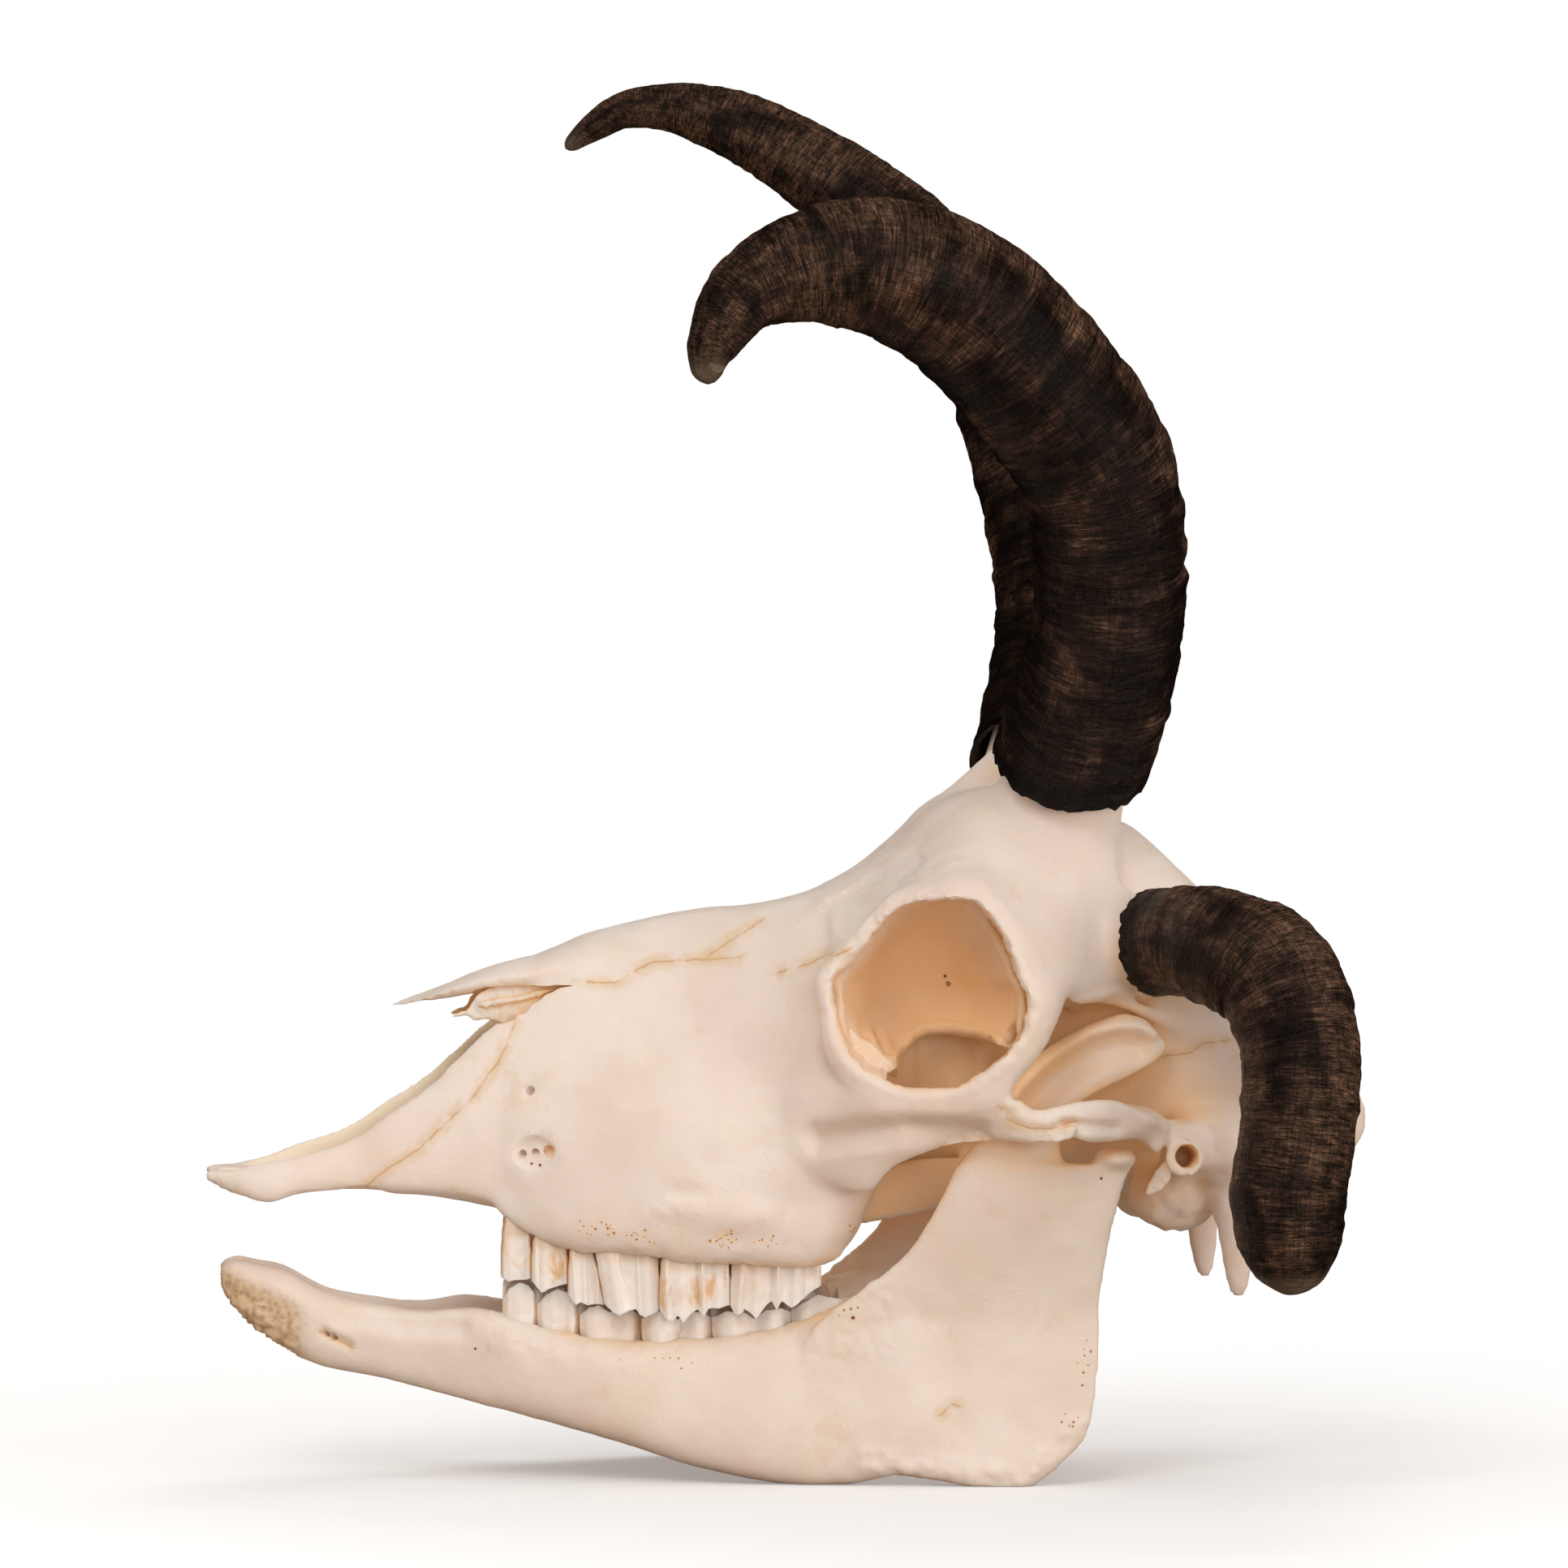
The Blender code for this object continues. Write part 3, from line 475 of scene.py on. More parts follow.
def mirrored_rings(rows):
    """Rings from x and pairs of y and z down the right half."""
    rings = []
    for row in eased(rows, 6):
        half = row[1:].reshape(-1, 2)
        near = np.column_stack([np.full(len(half), row[0]), -half[:, 0], half[:, 1]])
        rings.append(eased_loop(np.concatenate([near, near[-2:0:-1] * (1, -1, 1)]), 4))
    return rings


def oval_rings(rows, sides=48):
    """Rings from x, half width, bottom and top."""
    c, s = around(sides, 0.95)
    rings = []
    for x, half, bottom, top in eased(rows, 6):
        height = (bottom + top) / 2 + (top - bottom) / 2 * s
        rings.append(np.column_stack([np.full(sides, x), half * c, height]))
    return rings


def outline_rings(outline, depths):
    """Rings of one outline in side view at several depths, drawn in towards its middle."""
    outline = np.asarray(outline)
    middle = outline.mean(axis=0)
    rings = []
    for y, scale in depths:
        flat = middle + (outline - middle) * scale
        rings.append(np.column_stack([flat[:, 0], np.full(len(flat), y), flat[:, 1]]))
    return np.array(rings)


def ball(name, swelling, side):
    (x, y, z), radii = swelling
    bpy.ops.object.select_all(action="DESELECT")
    bpy.ops.mesh.primitive_uv_sphere_add(segments=40, ring_count=24, radius=MM)
    return settled(name, radii, (x, y * side, z))


# %% [markdown]
# Fine forms are worked into the finished skin as a sculptor would: every point has a weight for a dent, a
# groove or a rough patch, and moves along its normal. Noise of one lump size keeps surfaces from being even.

# %% Sculpting helpers
def noise(points, size, seed=0):
    """Smooth noise between -1 and 1 at points in millimetres, with lumps of one size."""
    scaled = points / size + 31.7 * seed
    cell = np.floor(scaled).astype(np.int64)
    share = scaled - cell
    share = share * share * (3 - 2 * share)
    total = np.zeros(len(points))
    for corner in range(8):
        shift = np.array([corner & 1, corner >> 1 & 1, corner >> 2 & 1])
        # A scrambled number for each corner of the cell.
        code = (cell + shift) @ np.array([73856093, 19349663, 83492791])
        code = ((code ^ (code >> 13)) * 1274126177) & 0xFFFFFFFF
        code = code ^ (code >> 16)
        weight = np.prod(np.where(shift == 1, share, 1 - share), axis=1)
        total += weight * ((code & 0xFFFF) / 32767.5 - 1)
    return total


def lumps(points, *layers):
    """Layers of noise, each given by its height, lump size and seed."""
    return sum(height * noise(points, size, seed) for height, size, seed in layers)


def held(value, low, high):
    """0 below low, 1 above high and a smooth step between them; high may be the smaller one."""
    t = np.clip((value - low) / (high - low), 0, 1)
    return t * t * (3 - 2 * t)


def trace(points, path):
    """How far points are from a line in side view, signed by its sides, and their share of its way."""
    flat = points[:, (X, Z)]
    path = np.asarray(path, dtype=float)
    spans = np.linalg.norm(np.diff(path, axis=0), axis=1)
    best = np.full(len(flat), 1e9)
    signed, share, past = np.zeros((3, len(flat)))
    gone = 0.0
    for start, end, span in zip(path, path[1:], spans):
        way = (end - start) / span
        off = flat - start
        along = off @ way
        kept = np.clip(along, 0, span)
        distance = np.linalg.norm(off - kept[:, None] * way, axis=1)
        nearer = distance < best
        best = np.where(nearer, distance, best)
        signed = np.where(nearer, np.sign(way[0] * off[:, 1] - way[1] * off[:, 0]) * distance, signed)
        share = np.where(nearer, (gone + kept) / spans.sum(), share)
        past = np.where(nearer, np.abs(along - kept), past)
        gone += span
    return signed, share, past


class Clay:
    """The points of a mesh in millimetres, while code moves them."""

    def __init__(self, obj):
        self.obj = obj
        self.read()

    def read(self):
        mesh = self.obj.data
        flat = np.empty(len(mesh.vertices) * 3, dtype=np.float32)
        mesh.vertices.foreach_get("co", flat)
        self.points = flat.reshape(-1, 3).astype(float) / MM
        self.x, self.y, self.z = self.points.T
        mesh.vertex_normals.foreach_get("vector", flat)
        self.normals = flat.reshape(-1, 3).astype(float)
        # The mirrored copy lets one set of numbers serve both sides of the head.
        self.depth = -np.abs(self.y)
        self.outward = self.normals[:, Y] * np.sign(self.y)

    def write(self):
        self.obj.data.vertices.foreach_set("co", (self.points * MM).astype(np.float32).ravel())
        self.obj.data.update()
        self.read()

    def push(self, amount):
        """Moves every point along its normal by its amount, then reads the new normals."""
        self.points += self.normals * amount[:, None]
        self.write()

    def lumps(self, *layers):
        return lumps(self.points, *layers)

    def near(self, centre, radii, edge=0.4):
        """1 inside an ellipsoid on either side, falling to 0 at its skin."""
        mirrored = np.column_stack([self.x, self.depth, self.z])
        return held(np.linalg.norm((mirrored - centre) / radii, axis=1), 1.0, edge)

    def face(self, facing, y_limit):
        """Whether points lie on the outer face of either side."""
        return (self.outward > facing) & (self.depth < -y_limit)

    def spot(self, x, z, half_x, half_z, edge=0.5, y_limit=2.0):
        """1 inside an ellipse in side view on the outer face of either side."""
        flat = np.hypot((self.x - x) / half_x, (self.z - z) / half_z)
        return held(flat, 1.0, edge) * self.face(0.0, y_limit)

    def groove(self, path, width, facing=0.15, y_limit=2.0):
        """1 on a line in side view on the outer face of either side, 0 at its width."""
        signed, _, past = trace(self.points, path)
        return held(np.abs(signed), width, 0.0) * held(past, width, 0.0) * self.face(facing, y_limit)


def soften(obj, weights, iterations):
    """Smooths an object where the weights of its points are high."""
    group = obj.vertex_groups.new(name="soften")
    levels = np.rint(weights * 8).astype(int)
    for level in range(1, 9):
        group.add(np.nonzero(levels == level)[0].tolist(), level / 8, "REPLACE")
    with_modifier(obj, "SMOOTH", factor=0.5, iterations=iterations, vertex_group="soften")
    obj.vertex_groups.clear()


def one_skin(obj):
    """Leaves only the skin that holds the point with the largest x."""
    chosen = int(np.argmax(Clay(obj).x))
    select(obj)
    bpy.ops.object.mode_set(mode="EDIT")
    bpy.ops.mesh.select_mode(type="VERT")
    bpy.ops.mesh.select_all(action="DESELECT")
    bpy.ops.object.mode_set(mode="OBJECT")
    obj.data.vertices[chosen].select = True
    bpy.ops.object.mode_set(mode="EDIT")
    bpy.ops.mesh.select_linked()
    bpy.ops.mesh.select_all(action="INVERT")
    bpy.ops.mesh.delete(type="VERT")
    bpy.ops.object.mode_set(mode="OBJECT")


# %% [markdown]
# The numbers of the bone follow, section by section from the nose to the back of the head. A bar has x, y
# and z of one edge, the same of its other edge and half its thickness; a crest has x, y, z and a radius.

# %% Bone sections
# The lip of bone over the upper teeth, on their outer side.
GUM_LIP = (
    (-63.6, 22.6, 61.5, 2.2), (-61.8, 23.2, 58.6, 2.3), (-58.5, 24.4, 56.2, 2.3), (-53.5, 26.2, 53.8, 2.2),
    (-47.0, 28.2, 53.0, 2.3), (-38.6, 30.0, 52.8, 2.3), (-31.0, 31.6, 51.4, 2.4), (-22.0, 33.4, 49.9, 2.4),
    (-12.0, 34.6, 50.8, 2.4), (-4.0, 34.4, 49.7, 2.4), (5.0, 33.6, 50.0, 2.4), (10.0, 32.0, 51.0, 2.4),
)
ORBIT_X, ORBIT_Z, ORBIT_RADIUS, ORBIT_RIM = 27.0, 106.5, 20.0, 2.6
ORBIT_MIDDLE_Y, ORBIT_REAR_FLARE = 53.0, 6.5
# Half sections of the face and the roof: x, then pairs of y and z from the top round to the underside.
FACE = (
    (-62, 0, 100, 10, 100, 16.5, 99.5, 20, 90, 23.5, 76, 24.5, 66, 23.5, 58, 14, 58.5, 12, 60, 0, 61),
    (-50, 0, 115.2, 11, 113.8, 17.5, 108.6, 22.5, 96, 27.5, 80, 29.8, 66, 29.6, 51.5, 16, 52.5, 13, 57.5, 0, 59),
    (-35, 0, 120.7, 12, 119.2, 19, 113, 26, 98, 32.5, 80, 34.3, 66, 33.4, 50.2, 17.5, 51, 15, 56.5, 0, 58),
    (-20, 0, 123.7, 13, 122.4, 21, 116, 29, 99, 36.5, 80, 38.2, 66, 36.8, 48.6, 19.5, 49.6, 17, 56, 0, 57.5),
    (-5, 0, 125.1, 14, 124.3, 23, 118.5, 32, 101, 38.5, 83, 39.3, 68, 37.2, 47.9, 20, 49.6, 18, 56, 0, 57.5),
    (5, 0, 127.2, 15, 126.4, 26, 121, 38, 106, 43, 88, 40.5, 70, 36.4, 48.2, 20.5, 50, 18, 57, 0, 59),
    (13, 0, 131, 16, 130.2, 29, 126, 44, 109, 48, 88, 42, 72, 32, 53, 22, 54, 17, 60, 0, 63),
    (19, 0, 135, 18, 134, 32, 130, 48, 112, 51, 90, 45, 76, 28, 66, 22, 66, 16, 67, 0, 69),
)
ROOF = (
    (6, 0, 127.6, 20, 126.2, 35, 120, 45, 112, 43, 108, 32, 110, 14, 112, 0, 112),
    (15, 0, 132.2, 20, 131, 38, 127, 51, 122, 49, 118, 36, 119, 15, 117, 0, 117),
    (24, 0, 139, 20, 137.8, 40, 132.5, 55, 127, 54, 123, 38, 124.5, 16, 122, 0, 122),
    (33, 0, 147.5, 20, 146.4, 40, 138.5, 58, 127.5, 56, 123, 38, 127, 18, 126, 0, 126),
    (42, 0, 150.5, 22, 150.5, 38, 142, 59.5, 122.5, 56.5, 118, 38, 127, 20, 127, 0, 127),
    (52, 0, 150.5, 24, 150, 38, 140.5, 58, 113, 53, 109, 37, 122, 22, 124, 0, 124),
    (62, 0, 149, 24, 149.5, 38, 137, 50, 108, 43, 104, 33, 112, 22, 118, 0, 118),
    (71, 0, 145, 22, 144, 34, 131, 41, 112, 36, 104, 28, 106, 20, 110, 0, 112),
)
# x, half width, bottom and top.
BRAINCASE = (
    (20, 15, 64, 128), (34, 15.5, 64, 132), (46, 18, 63, 136), (60, 25.5, 62, 142), (74, 32, 61, 143.5),
    (82, 34.5, 60, 138), (91, 35.5, 59, 129.5), (103, 34.5, 59, 119), (112, 31, 61, 109.5),
    (119, 24, 66, 100), (122.5, 14, 74, 92),
)
# The nasal bones and their free ends: x, top, edge and half width.
NASAL = (
    (-87.5, 102.3, 101.6, 3.0), (-78, 105.0, 103.4, 9.5), (-67, 109.0, 105.8, 14.0),
    (-56, 113.2, 107.4, 16.5), (-42, 118.8, 108.0, 18.0),
)
NASAL_TIP = (
    (-88.8, 102.0, 101.5, 1.0), (-84.6, 104.0, 102.5, 3.6), (-80, 105.7, 103.6, 7.0),
    (-74, 107.9, 104.9, 11.0), (-67, 110.6, 106.1, 13.8), (-56, 113.4, 107.6, 15.4),
)
# Bars of the face and the cheek.
PREMAXILLA = (
    (-127.5, 8, 64.0, -127.5, 7, 67.2, 2.9), (-122, 12.5, 62.0, -122, 10.5, 67.4, 2.6),
    (-114, 15.5, 60.0, -114, 12.5, 69.7, 2.4), (-106, 16.5, 62.0, -106, 13.5, 72.6, 2.1),
    (-96, 17, 62.6, -96, 14, 76.2, 2.0), (-88, 18, 62.8, -88, 14.5, 81.4, 1.9),
    (-79, 19.5, 62.6, -79, 15, 87.4, 1.9), (-73, 21, 62.0, -73, 15.5, 92.8, 1.9),
    (-66, 22.5, 60.0, -66, 16, 99.0, 2.0), (-59, 24, 56.0, -59, 16.5, 102.5, 2.2),
)
PALATINE_PROCESS = (
    (-114, 2.2, 62.6, -114, 2.2, 66.2, 2.2), (-95, 2.2, 61.8, -95, 2.2, 66.2, 2.2),
    (-75, 2.6, 60.6, -75, 2.6, 65.0, 2.4), (-58, 3.4, 59.6, -58, 3.4, 64.0, 2.6),
)
NOSE_FLOOR = (
    (-90, 11.5, 64.6, -90, 17.5, 64.4, 2.2), (-80, 6, 63.6, -80, 19, 64.0, 2.4),
    (-70, -1, 62.6, -70, 21, 62.6, 2.6), (-56, -1, 61.6, -56, 23, 60.4, 3.0),
)
INCISOR_BODY = (
    (-126, 2.6, 65.8, -126, 9.5, 65.0, 1.9), (-120, 1.8, 65.2, -120, 13.0, 63.4, 2.4),
    (-112, 1.6, 64.6, -112, 15.0, 62.8, 2.4), (-105, 6.5, 64.8, -105, 16.0, 64.0, 2.2),
    (-98, 11.5, 65.6, -98, 16.2, 65.4, 2.0),
)
CHEEK_ARCH = (
    (0, 40, 88, -2, 37, 70, 3.0), (11, 47, 88, 14, 42, 63, 3.4), (20, 52.5, 86.5, 20.4, 46, 69, 3.1),
    (30, 55.5, 85.8, 30, 49, 72.8, 2.8), (41, 57, 86.5, 41, 51, 74.4, 2.5),
    (50, 57, 81.5, 50, 53.5, 74.3, 2.2), (57.5, 56.5, 79.2, 57.5, 55, 76.4, 1.6),
)
TEMPLE_ARCH = (
    (43, 56, 82.6, 44, 55.5, 80.0, 1.6), (52.5, 56.5, 82.7, 53, 56, 78.8, 1.9),
    (61, 56, 83.2, 60.5, 55, 74.6, 2.3), (67.5, 54, 83.2, 67, 52, 74.6, 2.7),
    (74, 50, 81.0, 74, 47, 75.2, 3.0), (80, 43, 79.0, 80, 41, 73.0, 3.6), (88, 33, 79.0, 88, 31, 68.0, 5.0),
)
ORBIT_BAR = (
    (40, 58, 123, 58, 46, 117, 3.0), (45, 59.5, 112.5, 58, 51, 108, 2.8),
    (47.3, 59.5, 104, 56.8, 53, 103.5, 2.6), (46.3, 58.5, 97.5, 52.3, 55, 97.5, 2.6),
    (42.5, 58, 92, 49, 55.5, 91.8, 2.6), (37.5, 57.5, 87.5, 45.2, 56, 87.5, 2.6),
    (31, 56.5, 83, 42, 55, 82.5, 2.6),
)
PTERYGOID = (
    (10, 15, 66, 10, 16.5, 54, 2.4), (20, 14, 68, 20, 15, 55, 2.1), (30, 12.5, 70, 30, 13, 56.5, 2.0),
    (40, 12, 70, 41, 12, 59.5, 1.9), (50, 11, 70, 50, 11, 65, 2.2),
)
SKULL_BASE = (
    (26, 8, 70, 26, -8, 70, 6.0), (50, 9, 69.5, 50, -9, 69.5, 5.5), (75, 11, 68, 75, -11, 68, 5.0),
    (98, 14, 67.5, 98, -14, 67.5, 5.0), (118, 15, 71, 118, -15, 71, 5.0),
)
PAROCCIPITAL = (
    (88, 27, 73, 106, 27, 73, 4.0), (91, 28, 62, 104, 28, 62, 3.2), (92.8, 28.5, 54, 101.6, 28.5, 54, 2.3),
    (94, 28.5, 46, 100.8, 28.5, 46, 1.9), (95.4, 28, 40.6, 99.8, 28, 40.6, 1.6),
    (97, 28, 39.0, 98.8, 28, 39.0, 1.2),
)
# Crests, the inner wall that the eye socket is hollowed out of, and the roots of the bony pegs. The brow
# foot is low bone between the two upper pegs, which carries the brow line up to them.
NUCHAL_CREST = (
    (106, 34, 80, 3.0), (113, 32, 90, 3.0), (119, 21, 97, 2.8), (122, 8, 98.5, 2.6), (122, -8, 98.5, 2.6),
)
BROW_FOOT = ((34, 4, 138.5, 8.0), (42, 4.5, 146, 6.8), (48, 5, 153.6, 5.2), (53, 5, 160, 4.0))
TEMPORAL_LINE = (
    (57, 49.5, 105, 2.5), (66, 41.5, 106, 2.1), (76, 36, 102, 1.8), (92, 34, 95, 1.8), (108, 33, 84, 2.2),
)
SOCKET_WALL = (
    (28.6, 45, 106.4, 20.8), (29.5, 38, 105.8, 19.6), (31.5, 32, 105, 17.5), (33.5, 26, 104.2, 14.0),
    (35.0, 19, 103.2, 9.0),
)
SPIKE = ((76.0, 45.5, 78, 2.8), (77.0, 46.5, 74, 2.0), (78.0, 46.8, 71.6, 1.1), (78.3, 46.8, 70.6, 0.5))
EAR_TUBE = ((84, 28, 69, 4.4), (84.2, 36, 70.2, 4.1), (84.2, 43, 70.7, 3.8))
LATERAL_CORE_ROOT = ((62, 25, 116, 15.0), (69, 34, 117, 12.5), (74, 40, 117.2, 9.0))
UPPER_LEFT_CORE_ROOT = ((54, -18, 128, 20.0), (56.5, -20.5, 138.5, 17.4), (58.2, -22.8, 146, 14.4))
UPPER_RIGHT_CORE_ROOT = ((54, 18, 128, 20.0), (56.5, 20.5, 138.5, 17.0), (58.2, 22.8, 146, 13.8))
# Swellings: the middle and the radii.
EAR_CAPSULE = ((84, 22, 62), (10, 8, 8.8))
MASTOID = ((92, 31, 74), (9, 7, 9))
NECK_JOINT = ((121.2, 14, 78), (7.2, 8.5, 9))
JAW_SEAT = ((71, 45, 79), (8, 9, 3.6))

# %% [markdown]
# The spaces inside the bone are forms too, taken away from it: the nose, the throat, the braincase, the
# eye sockets and the ear tubes.

# %% Hollow sections
ORBIT_HOLLOW = (
    (26.5, 76, 107.0, 19.8), (27.0, 58, 106.6, 19.6), (27.4, 50, 106.3, 19.2), (28.6, 42, 105.8, 17.9),
    (30.4, 34, 105.0, 14.9), (32.4, 28, 104.0, 10.9), (34.4, 24, 103.2, 5.0),
)
BRAIN_HOLLOW = (
    (134, 0, 85, 9.0), (122, 0, 84, 9.0), (112, 0, 86, 11.0), (98, 0, 90, 14.0), (84, 0, 92, 9.0),
)
EAR_HOLLOW = ((84.3, 47, 70.8, 2.7), (84.2, 34, 70.2, 2.7))
NOSE_HOLLOW = (
    (-135, 0, 125, 13, 120, 13, 90, 10, 69.5, 0, 69.5), (-118, 0, 125, 12, 120, 11, 90, 9.5, 69, 0, 69),
    (-100, 0, 100, 13.0, 99, 12.5, 85, 11.5, 68.2, 0, 68.2),
    (-84, 0, 99.5, 13.2, 99, 13.0, 84, 14.5, 67, 0, 67),
    (-66, 0, 104.5, 12, 101, 14.8, 86, 17.5, 66.5, 0, 66.5),
    (-52, 0, 110, 12, 106, 17.5, 90, 22, 66, 0, 65.5), (-36, 0, 114.5, 13, 110, 21, 92, 26, 66, 0, 64.5),
    (-18, 0, 117.5, 14, 112, 23, 94, 28, 68, 0, 64.5), (-4, 0, 115, 13, 109, 19, 94, 22, 72, 0, 66),
    (4, 0, 106, 9, 102, 12, 92, 14, 78, 0, 74),
)
THROAT_HOLLOW = (
    (-2, 0, 74, 8, 73, 9, 66, 8, 62, 0, 61.5), (16, 0, 68, 9, 67, 10.5, 61, 10, 50, 0, 50),
    (34, 0, 64.5, 8.5, 64, 9.5, 58, 9, 48, 0, 48), (56, 0, 62, 8, 61, 8, 56, 8, 48, 0, 48),
)

# %% [markdown]
# Horn centre lines with the outer radius, from the mouth of the sheath to its tip. The bone pegs inside
# follow the same lines.

# %% Horn lines
RIM_WALL, HORN_WALL, CORE_PLAY, CORE_SHARE = 1.4, 3.0, 1.8, 0.42
UPPER_LEFT_HORN = (
    (60.0, -25, 153.5, 17.0), (66.5, -30, 175.5, 16.7), (68.5, -38, 196.0, 16.6), (64.5, -47, 219.0, 17.0),
    (51.5, -56, 237.5, 17.0), (34.5, -63, 253.5, 16.5), (19.0, -68, 260.5, 15.0), (3.5, -72, 261.5, 12.8),
    (-12.5, -75, 255.5, 8.6), (-20.5, -77, 243.5, 5.2), (-21.5, -77, 235.5, 2.2),
)
UPPER_RIGHT_HORN = (
    (60.0, 25, 153.0, 16.6), (64.5, 31, 174.0, 16.2), (67.0, 38, 194.5, 16.0), (62.5, 49, 224.5, 15.2),
    (51.5, 58, 255.0, 13.6), (34.0, 64, 276.5, 11.8), (15.0, 68, 292.0, 10.2), (-1.5, 72, 302.5, 8.9),
    (-13.0, 74, 307.0, 7.4), (-22.0, 76, 309.0, 5.6), (-31.5, 78, 308.5, 4.4), (-38.5, 79, 304.8, 3.4),
    (-45.5, 80, 299.6, 1.5),
)
LATERAL_HORN = (
    (77.3, 44, 117.2, 11.4), (83.8, 52, 117.7, 11.9), (89.5, 60, 116.5, 12.7), (99.5, 70, 110.8, 13.2),
    (104.0, 77, 96.0, 12.6), (102.8, 81, 77.5, 12.3), (100.9, 82, 65.5, 12.2), (100.9, 82, 55.5, 11.2),
    (101.1, 81, 48.0, 7.6), (100.8, 80, 43.8, 3.4),
)


def bore_radius(radius, share):
    """Inner radius of a sheath: a thin rim, a thicker wall further in, and a narrowing end."""
    wall = RIM_WALL + (HORN_WALL - RIM_WALL) * min(1.0, 3.0 * share)
    return (radius - wall) * (1.0 - 0.5 * share**2)


def core_rows(horn, root):
    """The bony peg inside a sheath, with the root that it grows from."""
    rows = eased(horn, 4)
    reach = int(len(rows) * CORE_SHARE)
    peg = list(root)
    for i in range(0, reach + 1, 2):
        x, y, z, radius = rows[i]
        peg.append((x, y, z, bore_radius(radius, i / reach) - CORE_PLAY))
    return peg


def orbit_ring_rows():
    """The rim of the eye socket, further out at its rear."""
    turns = np.arange(49) * 2 * np.pi / 48
    radius = ORBIT_RADIUS + ORBIT_RIM * 0.7
    x = ORBIT_X + radius * np.cos(turns)
    y = ORBIT_MIDDLE_Y + ORBIT_REAR_FLARE * np.cos(turns)
    z = ORBIT_Z + radius * np.sin(turns)
    return np.column_stack([x, y, z, np.full(len(turns), ORBIT_RIM)])


def nasal_rows(rows):
    """Half sections of the nasal bones: a low roof with a flat underside."""
    made = []
    for x, top, edge, half in rows:
        middle = (top + edge) / 2
        made.append((x, 0, top, half * 0.6, top - 0.8, half, middle, half * 0.8, edge, 0, edge + 0.4))
    return made


def lowered(rows, low):
    """The bar at the front of the nose with its upper edge settled in the middle."""
    shares = np.interp([row[0] for row in rows], (-118, -104, -80, -70), (0, 1, 1, 0))
    return [(*row[:5], row[5] - low * share, row[6]) for row, share in zip(rows, shares)]


# %% [markdown]
# The cranium grew as one bone, so its overlapping forms are fused by a voxel remesh into a single skin and
# smoothed. A remesh fits better than joins by hand here, because grown bone has no edges between its parts.

# %% Cranium: forms fused into one skin
BONE_VOXEL = 0.85

forms = [
    rolled("face", mirrored_rings(FACE)),
    rolled("roof", mirrored_rings(ROOF)),
    rolled("braincase", oval_rings(BRAINCASE)),
    rolled("nasal", mirrored_rings(nasal_rows(NASAL))),
    rolled("skull_base", blade_rings(SKULL_BASE)),
    rolled("brow_foot", tube_rings(BROW_FOOT)),
    rolled("core_left", tube_rings(core_rows(UPPER_LEFT_HORN, UPPER_LEFT_CORE_ROOT))),
    rolled("core_right", tube_rings(core_rows(UPPER_RIGHT_HORN, UPPER_RIGHT_CORE_ROOT))),
]
for side in BOTH_SIDES:
    nose_bar = lowered(PREMAXILLA, 1.8 if side == LEFT else 0.0)
    for rows in (nose_bar, PALATINE_PROCESS, INCISOR_BODY, CHEEK_ARCH, TEMPLE_ARCH, ORBIT_BAR):
        forms.append(rolled("bar", blade_rings(rows, side)))
    for rows in (PTERYGOID, PAROCCIPITAL, NOSE_FLOOR):
        forms.append(rolled("plate", blade_rings(rows, side)))
    core = core_rows(LATERAL_HORN, LATERAL_CORE_ROOT)
    for rows in (NUCHAL_CREST, TEMPORAL_LINE, EAR_TUBE, GUM_LIP, SOCKET_WALL, SPIKE, core):
        forms.append(rolled("crest", tube_rings(rows, side)))
    forms.append(rolled("orbit_ring", tube_rings(orbit_ring_rows(), side, steps=1)))
    for swelling in (EAR_CAPSULE, MASTOID, NECK_JOINT, JAW_SEAT):
        forms.append(ball("swelling", swelling, side))
report("forms made")
cranium = joined("cranium_bone", forms)
fuse(cranium, BONE_VOXEL, 16)
one_skin(cranium)
report("cranium fused", triangles(cranium))

# %% Cranium: hollows carved out
hollows = [
    rolled("nose", mirrored_rings(NOSE_HOLLOW)),
    rolled("throat", mirrored_rings(THROAT_HOLLOW)),
    rolled("brain", tube_rings(BRAIN_HOLLOW)),
]
for side in BOTH_SIDES:
    hollows.append(rolled("orbit", tube_rings(ORBIT_HOLLOW, side, sides=64)))
    hollows.append(rolled("ear", tube_rings(EAR_HOLLOW, side)))
hollow = joined("hollows", hollows)
fuse(hollow, BONE_VOXEL, 4)
combine(cranium, hollow, "DIFFERENCE")
fuse(cranium, BONE_VOXEL, 3)
one_skin(cranium)
report("cranium carved", triangles(cranium))

# %% [markdown]
# The eye socket is more than a funnel. Its floor has a deep recess under a sharp ledge, the thin lacrimal
# bone bulges in front of that, and two nerve holes and a gap at the rear open in its wall.

# %% Cranium: eye socket details
SOCKET_RECESS = (
    (27.0, 96.6), (29.6, 97.6), (36, 97.4), (41.5, 96.6), (46.5, 93.6), (43, 88.6), (33, 85.0), (24.0, 85.4),
    (17.6, 87.4),
)
RECESS_DEPTHS = ((-50, 1.0), (-30, 1.0), (-24, 0.93), (-19, 0.75))
EAR_COLLAR = ((84.0, 34, 70.0, 4.0), (83.8, 40, 70.4, 3.7), (83.6, 46.5, 70.8, 4.1))
EAR_BORE = ((83.8, 50, 71.2, 2.9), (83.9, 42, 70.9, 2.4), (84.2, 32, 70.0, 2.0))
NERVE_HOLES = (
    ((43.0, -46, 98.2, 2.6), (53.0, -33, 97.0, 2.2)), ((9.6, -56, 107.2, 1.1), (13.0, -46, 106.2, 0.8)),
)

